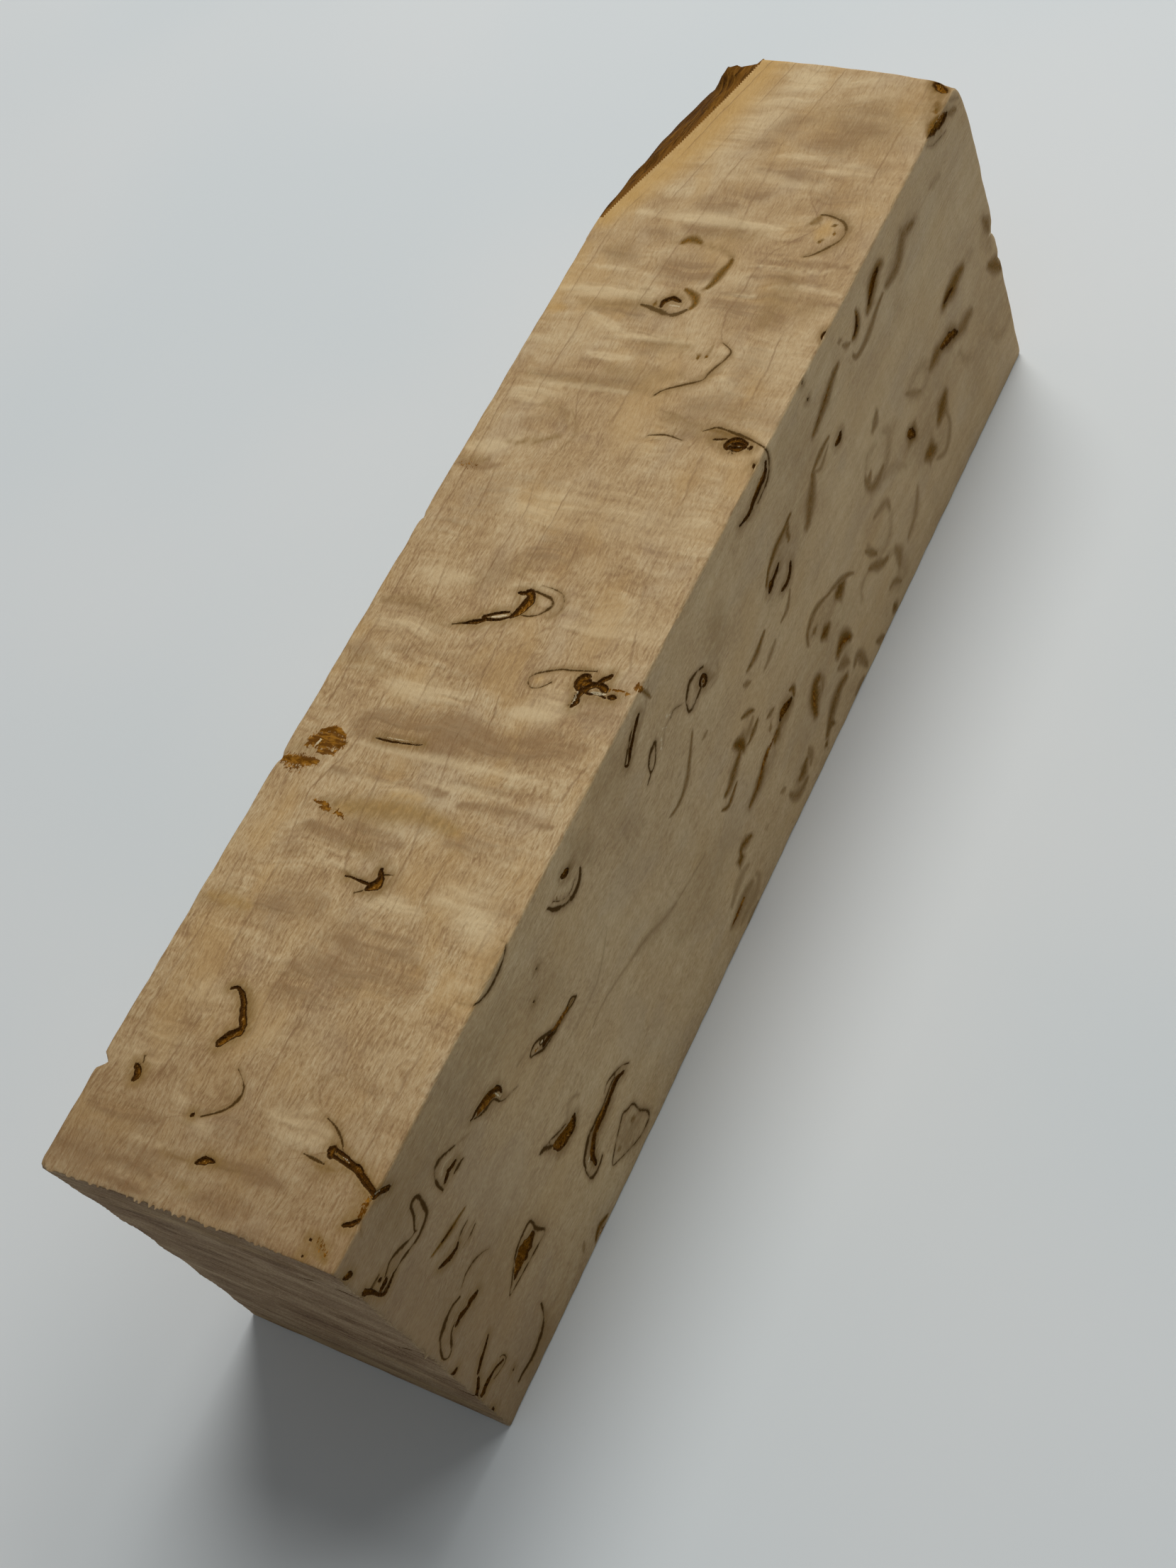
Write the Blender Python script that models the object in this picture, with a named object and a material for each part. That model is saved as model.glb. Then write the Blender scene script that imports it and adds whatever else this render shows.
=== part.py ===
"""Masur birch block: a sawn knife-handle blank with a strip of bark left on one corner.

The block rests on a narrow face. +X runs along it from the near saw cut to the far one, +Y is its
left side and +Z is up. The origin is on the resting face, under the middle of the block. Shapes are
worked out in millimetres, and every mesh is scaled to metres when it is made.
"""

import math

import bmesh
import bpy
from mathutils import Matrix, Vector, noise

MM = 0.001

# The sawn bar: the two saw cuts are measured at its foot
NEAR_X = -64.7
FAR_X = 65.75
WIDTH = 30.0
HEIGHT = 40.0
SIDE_Y = WIDTH / 2

# The near cut leans out towards its upper left corner
NEAR_LEAN = 0.5
NEAR_TWIST = 0.034
NEAR_HOLLOW = 0.0012

# The far cut is nearly square, with its upper right corner worn back
FAR_SKEW = 0.012
FAR_CORNER_LOSS = 1.5
FAR_CORNER_REACH_Y = 8.0
FAR_CORNER_REACH_Z = 3.0

# Shallow waves that the saw left across both ends
SAW_WAVE = 0.06
SAW_PITCH = 7.3
END_COLUMNS = 10
END_ROWS = 22

# Where the bark starts on the upper face, measured back from the far end
BARK_FAR_Y = 6.85
BARK_SLOPE = 0.28
BARK_CURVE = 0.0022
BARK_BLEND = 0.5
BARK_START_X = 39.0

# How the bark falls away from that line, and its lumps
BARK_FALL = 0.30
BARK_ROUND = 0.05
BARK_LUMP = 0.55
BARK_LUMP_LENGTH = 3.6
BARK_LUMP_WIDTH = 1.7
BARK_STEP = 0.75
BARK_CELL = 0.9
PLATE_END_X = 64.6
PLATE_THICKNESS = 1.2
PLATE_SWELL = 0.5
PLATE_SWELL_X = 63.4
PLATE_SWELL_REACH = 1.1

# Cutters start this far outside the face that they open
CLEAR = 0.4

# Chips along the edges: each is the hull of its corner points
CHIPS = {
    "notch": [(-56.7, 15.4, 40.4), (-54.9, 15.4, 40.4), (-55.9, 14.1, 40.4), (-55.7, 15.4, 37.4)],
    "near_left_corner": [(-66.9, 15.8, 41.0), (-64.3, 15.6, 40.6), (-66.6, 13.2, 40.6), (-66.6, 15.6, 37.2)],
    "worn_left_edge": [
        (-67.0, 15.4, 40.4), (-67.0, 14.55, 40.4), (-67.0, 15.4, 39.5),
        (-57.2, 15.4, 40.4), (-57.2, 14.75, 40.4), (-57.2, 15.4, 39.8),
    ],
    "ridge_nick": [(-61.2, -15.4, 40.4), (-60.1, -15.4, 40.4), (-60.6, -14.5, 40.4), (-60.6, -15.4, 39.4)],
    "far_corner_pit": [
        (64.9, -12.3, 40.4), (62.2, -14.5, 40.4), (64.5, -15.1, 40.4), (65.2, -14.0, 38.6), (63.9, -13.9, 39.0),
    ],
    "far_edge_notch": [(66.3, -15.4, 21.0), (66.3, -15.4, 18.4), (64.5, -15.4, 19.8), (66.3, -14.0, 19.6)],
}

# Open bark pockets: depth, half widths at the ends and in the middle, and the line they follow.
# The two numbers of a point are X and Y on the top and the foot, and X and Z on the two sides.
TOP_POCKETS = {
    "check_mark": (0.5, 0.14, 0.34, [(-51.3, 5.2), (-50.1, 4.3), (-49.2, 3.85), (-47.6, 4.7), (-46.2, 6.0)]),
    "near_spot": (0.5, 0.10, 0.30, [(-61.0, 1.3), (-60.5, 0.5), (-60.3, -0.3)]),
    "upper_spot": (0.4, 0.10, 0.28, [(-56.5, 10.95), (-55.8, 10.85), (-55.1, 11.3)]),
    "ridge_slit": (0.7, 0.25, 0.40, [(-56.0, -9.7), (-56.4, -11.6), (-57.2, -13.5), (-58.1, -15.3)]),
    "spider": (0.5, 0.10, 0.45, [(-33.8, 0.6), (-34.0, -0.7), (-33.3, -1.1), (-32.2, -0.75)]),
    "blob": (0.6, 0.20, 0.55, [(-12.4, -9.9), (-10.6, -9.7), (-10.3, -11.4), (-10.7, -13.4)]),
    "eye": (0.7, 0.14, 0.46, [(-5.5, 0.4), (-4.7, -0.2), (-3.6, -0.5), (-2.8, 0.1), (-2.9, 0.9)]),
    "eye_tail": (0.4, 0.08, 0.20, [(-7.2, 4.2), (-6.4, 2.6), (-5.8, 0.8)]),
    "crack": (0.6, 0.05, 0.10, [(-20.5, 6.4), (-20.45, 4.6), (-20.2, 2.6)]),
    "knot": (0.6, 0.12, 0.42, [(16.9, -11.4), (17.3, -12.3), (17.0, -13.5)]),
    "far_hook": (0.5, 0.12, 0.30, [(31.7, 2.9), (32.7, 2.5), (32.7, 1.2)]),
    "far_line": (0.4, 0.10, 0.22, [(34.9, -1.0), (36.8, -1.5), (38.6, -1.8)]),
}
RIGHT_POCKETS = {
    "ridge_slit_foot": (0.6, 0.10, 0.30, [(-58.3, 40.3), (-57.5, 39.4), (-56.8, 38.6)]),
    "near_dot": (0.5, 0.10, 0.26, [(-64.4, 38.3), (-64.0, 37.8), (-63.8, 37.4)]),
    "near_curl": (0.5, 0.12, 0.24, [(-64.1, 34.3), (-63.7, 32.8), (-62.9, 32.4)]),
    "arch_core": (0.4, 0.10, 0.24, [(-53.3, 31.0), (-52.5, 31.4), (-51.7, 31.3)]),
    "leaf": (0.5, 0.10, 0.34, [(-47.6, 31.7), (-46.0, 31.1), (-44.6, 30.7), (-44.2, 29.5)]),
    "long_eye": (0.5, 0.12, 0.34, [(-39.4, 27.7), (-38.1, 27.0), (-36.4, 26.2), (-33.0, 25.7)]),
    "black_lens": (0.5, 0.08, 0.24, [(-58.7, 25.4), (-57.5, 24.75), (-56.1, 24.4)]),
    "black_bar": (0.5, 0.10, 0.26, [(-61.2, 18.4), (-59.6, 18.1), (-57.9, 17.6)]),
    "lower_bar": (0.4, 0.10, 0.20, [(-60.1, 12.1), (-61.7, 11.4), (-63.0, 10.7)]),
    "moustache": (0.4, 0.12, 0.24, [(-64.2, 8.0), (-62.7, 8.25), (-60.7, 7.4)]),
    "almond": (0.6, 0.30, 0.75, [(-54.2, 12.6), (-52.6, 12.9), (-51.2, 12.7)]),
    "brown_wedge": (0.6, 0.35, 0.65, [(-42.9, 16.0), (-41.8, 15.6), (-40.4, 15.4)]),
    "long_arc": (
        0.6, 0.14, 0.36,
        [(-41.1, 7.8), (-40.6, 9.6), (-38.9, 10.8), (-36.3, 10.9), (-34.4, 11.4), (-33.1, 10.9)],
    ),
    "round_dot": (0.5, 0.14, 0.34, [(-27.0, 36.9), (-26.3, 36.6)]),
    "ridge_worm": (0.6, 0.14, 0.26, [(-15.1, 36.0), (-13.8, 36.9), (-11.2, 38.1)]),
    "small_eye": (0.5, 0.16, 0.36, [(-2.6, 31.2), (-2.1, 30.2)]),
    "ridge_hook": (0.6, 0.12, 0.30, [(12.6, 37.4), (14.8, 37.7), (16.1, 38.0), (16.6, 38.8)]),
    "mid_eye": (0.5, 0.16, 0.34, [(10.7, 27.2), (11.8, 27.6), (13.1, 28.1)]),
    "mid_lid": (0.5, 0.14, 0.28, [(12.3, 25.1), (13.4, 25.0), (14.6, 25.7)]),
    "brown_knot": (0.5, 0.20, 0.45, [(5.0, 13.6), (6.1, 13.9), (7.5, 13.4)]),
    "dark_spot": (0.5, 0.24, 0.36, [(27.8, 28.6), (28.6, 28.7)]),
    "far_comma": (0.5, 0.14, 0.30, [(35.3, 35.0), (36.4, 35.4), (36.9, 36.5)]),
    "far_brush": (0.6, 0.20, 0.55, [(39.0, 35.0), (40.5, 36.3), (42.8, 37.0)]),
    "low_brush": (0.6, 0.20, 0.45, [(50.1, 17.8), (51.8, 17.3), (53.5, 16.1)]),
    "low_spot": (0.5, 0.24, 0.45, [(39.9, 15.6), (40.7, 14.8)]),
    "grey_bar": (0.4, 0.16, 0.40, [(52.4, 21.6), (54.0, 21.6), (55.2, 21.4)]),
    "far_ridge_bar": (0.6, 0.16, 0.42, [(58.2, 39.6), (59.8, 39.2), (61.4, 38.9)]),
}
LEFT_POCKETS = {
    "hidden_lens": (0.5, 0.12, 0.34, [(-52.0, 27.0), (-49.5, 28.2), (-46.8, 27.6)]),
    "hidden_arc": (0.5, 0.12, 0.30, [(-30.0, 12.5), (-27.6, 14.4), (-24.6, 14.2), (-23.2, 12.9)]),
    "hidden_bar": (0.5, 0.12, 0.28, [(-8.5, 31.0), (-5.5, 30.1), (-3.0, 30.4)]),
    "hidden_wedge": (0.6, 0.25, 0.55, [(9.5, 18.4), (11.2, 18.9), (12.9, 18.3)]),
    "hidden_slit": (0.5, 0.10, 0.26, [(28.0, 8.6), (31.0, 9.8), (33.6, 9.4)]),
    "hidden_comma": (0.5, 0.12, 0.32, [(44.0, 22.8), (46.2, 23.6), (47.2, 25.2)]),
}
FOOT_POCKETS = {
    "foot_lens": (0.5, 0.12, 0.32, [(-44.0, 6.0), (-41.2, 7.0), (-38.6, 6.3)]),
    "foot_hook": (0.5, 0.12, 0.30, [(-20.5, -7.6), (-18.4, -6.2), (-17.6, -4.2)]),
    "foot_bar": (0.5, 0.12, 0.28, [(22.0, 4.8), (24.8, 4.2), (27.3, 4.9)]),
    "foot_spot": (0.5, 0.20, 0.38, [(46.0, -6.2), (47.4, -5.7)]),
}
FLOOR_SHARE = 0.45


def smooth_step(low, high, value):
    """Rise from 0 at low to 1 at high, with no corner at either end."""
    share = min(max((value - low) / (high - low), 0.0), 1.0)
    return share * share * (3.0 - 2.0 * share)


def saw_wave(y, z):
    """The shallow wave that the saw left across an end."""
    return SAW_WAVE * math.sin(math.tau * z / SAW_PITCH + 0.08 * y) * math.sin(math.pi * z / HEIGHT)


def near_cut(y, z):
    """X of the near end at this height and side."""
    lean = NEAR_LEAN + NEAR_TWIST * y + NEAR_HOLLOW * y * y
    return NEAR_X - lean * (z / HEIGHT) ** 2 + saw_wave(y, z)


def far_cut(y, z):
    """X of the far end at this height and side."""
    reach = (y + SIDE_Y) / FAR_CORNER_REACH_Y + (HEIGHT - z) / FAR_CORNER_REACH_Z
    return FAR_X + FAR_SKEW * y - FAR_CORNER_LOSS * math.exp(-reach) - saw_wave(y, z)


def bark_line(x):
    """Y where the bark starts on the upper face: it meets the left edge in a soft curve."""
    back = FAR_X - x
    straight = BARK_FAR_Y + BARK_SLOPE * back + BARK_CURVE * back * back
    return SIDE_Y - BARK_BLEND * math.log(1.0 + math.exp((SIDE_Y - straight) / BARK_BLEND))


def bark_height(x, y):
    """Z of the bark, which rounds down from the bark line to the left side."""
    out = y - bark_line(x)
    if out <= 0.0:
        return HEIGHT - BARK_FALL * out
    fall = BARK_FALL * out + BARK_ROUND * out * out
    grown = smooth_step(0.0, 1.4, out)
    spot = Vector((x / BARK_LUMP_LENGTH, out / BARK_LUMP_WIDTH, 4.3))
    lump = BARK_LUMP * noise.noise(spot)
    swell = PLATE_SWELL * math.exp(-(((x - PLATE_SWELL_X) / PLATE_SWELL_REACH) ** 2))
    missing = PLATE_THICKNESS * smooth_step(PLATE_END_X, PLATE_END_X + 0.3, x)
    return HEIGHT - fall + grown * (lump + swell - missing)


def surface(name, colour, roughness):
    """A plain matt material."""
    material = bpy.data.materials.new(name)
    material.use_nodes = True
    shader = material.node_tree.nodes["Principled BSDF"]
    shader.inputs["Base Color"].default_value = (*colour, 1.0)
    shader.inputs["Roughness"].default_value = roughness
    shader.inputs["Metallic"].default_value = 0.0
    return material


def metre_object(name, bm, material):
    """Turn a mesh made in millimetres into an object in metres, with its faces pointing out."""
    bmesh.ops.recalc_face_normals(bm, faces=bm.faces)
    bmesh.ops.transform(bm, matrix=Matrix.Scale(MM, 4), verts=bm.verts)
    mesh = bpy.data.meshes.new(name)
    bm.to_mesh(mesh)
    bm.free()
    mesh.materials.append(material)
    made = bpy.data.objects.new(name, mesh)
    bpy.context.collection.objects.link(made)
    return made


def end_grid(bm, cut):
    """Rows of vertices, foot to top, over one sawn end, with the faces between them."""
    rows = []
    for row in range(END_ROWS + 1):
        z = HEIGHT * row / END_ROWS
        sides = (WIDTH * column / END_COLUMNS - SIDE_Y for column in range(END_COLUMNS + 1))
        rows.append([bm.verts.new((cut(y, z), y, z)) for y in sides])
    for low, high in zip(rows, rows[1:]):
        for column in range(END_COLUMNS):
            bm.faces.new((low[column], low[column + 1], high[column + 1], high[column]))
    return rows


def sawn_bar(wood):
    """The bar between its two waved saw cuts, with four flat faces along it."""
    bm = bmesh.new()
    near = end_grid(bm, near_cut)
    far = end_grid(bm, far_cut)
    bm.faces.new(near[0] + far[0][::-1])
    bm.faces.new(near[-1] + far[-1][::-1])
    bm.faces.new([row[0] for row in near] + [row[0] for row in reversed(far)])
    bm.faces.new([row[-1] for row in near] + [row[-1] for row in reversed(far)])
    return metre_object("masur_birch_block", bm, wood)


def bark_cutter(bark):
    """What is missing from the bar outside its bark: a slab whose underside is the bark."""
    beyond = FAR_X + 2.0
    plate_end = (PLATE_END_X, PLATE_END_X + 0.3)
    columns = int((PLATE_END_X - BARK_START_X) / BARK_CELL)
    step = (PLATE_END_X - BARK_START_X) / columns
    xs = [BARK_START_X + step * column for column in range(columns)]
    xs += [*plate_end, FAR_X - 0.4, beyond]
    low_y = BARK_FAR_Y - 1.0
    rows = int((SIDE_Y + 1.5 - low_y) / BARK_STEP)
    ys = [low_y + BARK_STEP * row for row in range(rows + 1)]
    lid = HEIGHT + 5.0
    bm = bmesh.new()
    under = [[bm.verts.new((x, y, bark_height(x, y))) for y in ys] for x in xs]
    over = [[bm.verts.new((x, y, lid)) for y in ys] for x in xs]
    for grid in (under, over):
        for left, right in zip(grid, grid[1:]):
            for row in range(rows):
                bm.faces.new((left[row], right[row], right[row + 1], left[row + 1]))
    rim = [(0, row) for row in range(rows)] + [(column, rows) for column in range(len(xs) - 1)]
    rim += [(len(xs) - 1, row) for row in range(rows, 0, -1)]
    rim += [(column, 0) for column in range(len(xs) - 1, 0, -1)]
    for (a, b), (c, d) in zip(rim, rim[1:] + rim[:1]):
        bm.faces.new((under[a][b], under[c][d], over[c][d], over[a][b]))
    return metre_object("bark_cutter", bm, bark)


def chip_cutter(name, corners, wood):
    """A broken-off chip: the hull of its corner points."""
    bm = bmesh.new()
    for corner in corners:
        bm.verts.new(corner)
    hull = bmesh.ops.convex_hull(bm, input=bm.verts)
    bmesh.ops.delete(bm, geom=hull["geom_interior"], context="VERTS")
    return metre_object(name, bm, wood)


def pocket_cutter(name, place, pocket, bark):
    """A bark pocket: a trough with sloping walls that follows a line on one of the faces."""
    depth, end_width, middle_width, line = pocket
    points = [Vector(point) for point in line]
    last = len(points) - 1
    bm = bmesh.new()
    rings = []
    for index, point in enumerate(points):
        along = (points[min(index + 1, last)] - points[max(index - 1, 0)]).normalized()
        across = Vector((-along.y, along.x))
        width = end_width if index in (0, last) else middle_width
        lip = across * width * (1.0 + CLEAR / depth * (1.0 - FLOOR_SHARE))
        floor = across * width * FLOOR_SHARE
        ring = [(point + lip, CLEAR), (point + floor, -depth), (point - floor, -depth), (point - lip, CLEAR)]
        rings.append([bm.verts.new(place(spot.x, spot.y, height)) for spot, height in ring])
    for back, front in zip(rings, rings[1:]):
        for side in range(4):
            other = (side + 1) % 4
            bm.faces.new((back[side], back[other], front[other], front[side]))
    bm.faces.new(rings[0])
    bm.faces.new(rings[-1])
    return metre_object(name, bm, bark)


def on_top(u, v, out):
    """A point near the upper face."""
    return (u, v, HEIGHT + out)


def on_right(u, v, out):
    """A point near the right side."""
    return (u, -SIDE_Y - out, v)


def on_left(u, v, out):
    """A point near the left side."""
    return (u, SIDE_Y + out, v)


def on_foot(u, v, out):
    """A point near the resting face."""
    return (u, v, -out)


def all_cutters(wood, bark):
    """Every piece that is taken out of the sawn bar, in the material of the surface that it leaves."""
    cutters = [bark_cutter(bark)]
    cutters += [chip_cutter(name, corners, wood) for name, corners in CHIPS.items()]
    faces = (
        (on_top, TOP_POCKETS),
        (on_right, RIGHT_POCKETS),
        (on_left, LEFT_POCKETS),
        (on_foot, FOOT_POCKETS),
    )
    for place, pockets in faces:
        cutters += [pocket_cutter(name, place, pocket, bark) for name, pocket in pockets.items()]
    return cutters


def cut_away(block, cutters):
    """Take the cutters out of the block, and remove them."""
    for cutter in cutters:
        cutter.hide_render = True
        cutter.display_type = "WIRE"
        cut = block.modifiers.new(cutter.name, "BOOLEAN")
        cut.operation = "DIFFERENCE"
        cut.solver = "EXACT"
        cut.material_mode = "TRANSFER"
        cut.object = cutter
    scene_state = bpy.context.evaluated_depsgraph_get()
    carved = bpy.data.meshes.new_from_object(block.evaluated_get(scene_state))
    block.modifiers.clear()
    block.data = carved
    for cutter in cutters:
        bpy.data.objects.remove(cutter)


def centre_along_x(block):
    """Bring the middle of the block's length over the origin."""
    xs = [vertex.co.x for vertex in block.data.vertices]
    middle = (min(xs) + max(xs)) / 2
    block.data.transform(Matrix.Translation((-middle, 0.0, 0.0)))


def main():
    for old in list(bpy.data.objects):
        bpy.data.objects.remove(old)
    wood = surface("masur_birch", (0.52, 0.37, 0.20), 0.72)
    bark = surface("birch_bark", (0.13, 0.06, 0.03), 0.85)
    block = sawn_bar(wood)
    cut_away(block, all_cutters(wood, bark))
    centre_along_x(block)


main()
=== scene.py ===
"""Finished look of the masur birch block: its surface, a pale floor, soft studio light and the camera.

Shapes are worked out in millimetres, in the block's own frame: +X along the block from the near saw
cut to the far one, +Y to its left side, +Z up. The finished mesh is scaled to metres at the end.
"""

import math

import bpy
import numpy as np
from mathutils import Matrix, Vector, noise
from mathutils.geometry import delaunay_2d_cdt


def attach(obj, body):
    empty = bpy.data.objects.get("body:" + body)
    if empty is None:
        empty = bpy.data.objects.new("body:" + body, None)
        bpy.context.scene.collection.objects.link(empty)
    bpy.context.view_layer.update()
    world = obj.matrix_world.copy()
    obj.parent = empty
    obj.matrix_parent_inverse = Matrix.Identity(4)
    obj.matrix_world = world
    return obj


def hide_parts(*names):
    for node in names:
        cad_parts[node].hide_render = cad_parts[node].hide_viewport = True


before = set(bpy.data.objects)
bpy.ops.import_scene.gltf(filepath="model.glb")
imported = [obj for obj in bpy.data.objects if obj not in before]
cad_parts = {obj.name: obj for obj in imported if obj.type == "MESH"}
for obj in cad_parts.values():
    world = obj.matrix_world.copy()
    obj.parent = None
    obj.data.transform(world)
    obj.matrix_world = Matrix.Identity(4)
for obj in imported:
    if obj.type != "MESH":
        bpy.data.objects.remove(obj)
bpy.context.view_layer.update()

NODE = "masur_birch_block"
MM = 0.001

# The sawn block, as in the solid
NEAR_X = -64.7
FAR_X = 65.75
FAR_LIMIT = 65.95
SIDE_Y = 15.0
HEIGHT = 40.0
NEAR_LEAN = 0.5
NEAR_TWIST = 0.034
NEAR_HOLLOW = 0.0012
FAR_SKEW = 0.012
FAR_CORNER_LOSS = 1.5
FAR_CORNER_REACH_Y = 8.0
FAR_CORNER_REACH_Z = 3.0
SAW_WAVE = 0.06
SAW_PITCH = 7.3

# The bark corner: the line is as in the solid, the surface a little finer
BARK_FAR_Y = 6.85
BARK_SLOPE = 0.28
BARK_CURVE = 0.0022
BARK_BLEND = 0.5
BARK_START_X = 39.0
BARK_FALL = 0.30
BARK_ROUND = 0.05
BARK_LUMP = 0.32
BARK_LUMP_LENGTH = 3.6
BARK_LUMP_WIDTH = 1.7
BARK_GROWN_Y = 1.4
BARK_UNDER = 0.02
PLATE_END_X = 64.6
PLATE_END_RUN = 0.3
PLATE_THICKNESS = 1.2
PLATE_SWELL = 1.5
PLATE_SWELL_X = 64.3
PLATE_SWELL_REACH = 1.4
PLATE_SWELL_FADE = (3.2, 5.0)

# How finely each face is divided
LENGTH = 130.0
GRID_END_X = 66.2
EDGE_STEP = 0.25
LIP_STEP = 0.125
FINE_STEP = 0.62
PLAIN_STEP = 0.98
ARRIS_ROWS = (0.08, 0.2, 0.42)
CLOSE_ROW = 0.1
ROW_HEIGHT = 0.866
GRID_DRIFT = 0.12
BARK_ROWS = (-0.12, 0.12, 0.4, 0.8)
BARK_ROWS_X = (42.0, 65.0)
BARK_ROW_STEP = 0.3

# How close points may come to the rim and to each other, and what counts as the same place
RIM_GAP = 0.05
GRID_MARGIN = 0.3
DETAIL_GAP = 0.07
SPARE_GAP = 0.17
TIP_GAP = 0.12
SAME_POINT = 2e-4
DELAUNAY_GAP = 1e-6
ON_EDGE = 1e-6

# Wear of the edges and the relief of the faces
ARRIS_RADIUS = 0.34
ARRIS_REACH = 0.8
LIP_REACH = 0.3
TUFT_LENGTH = 0.42
HAIR_LENGTH = 0.12
SAW_STREAK = 0.05
POCKET_DEPTH = 0.07
POCKET_GROWTH = 0.5
POCKET_WALL = (0.06, -0.75)
RAGGED = 0.4
RAGGED_PITCH = 1.5
LINE_DEPTH = 0.05
STAIN_DEPTH = 0.06
FACE_WAVE = 0.035
SHARP_ANGLE = 62.0

# Values far from every mark and every bark corner
NO_MARK = 9.0
NO_BARK = -20.0


def bark(widths, *points):
    """A pocket of dark bark: half widths at its start, middle and end."""
    return ("bark", widths, 1.0, points)


def marker(kind):
    """A function that makes marks of one kind, which narrow towards both ends."""
    def made(width, strength, *points):
        return (kind, (width * 0.45, width, width * 0.45), strength, points)
    return made


# Thin brown outlines, soft dark brown marks, faint brown clouds, orange-brown crumbs and light patches
line = marker("line")
stain = marker("stain")
haze = marker("haze")
rust = marker("rust")
pale = marker("pale")

# Dark and light bands of the curl, and yellow stains; on the near end the light kind also carries a painted
# light band along the foot and a painted highlight down the right edge
shade = marker("shade")
glow = marker("glow")
gold = marker("gold")


def broader(marks, times):
    """The same marks, with the half widths of some kinds multiplied."""
    return [(kind, tuple(width * times.get(kind, 1.0) for width in widths), strength, points)
            for kind, widths, strength, points in marks]


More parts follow.
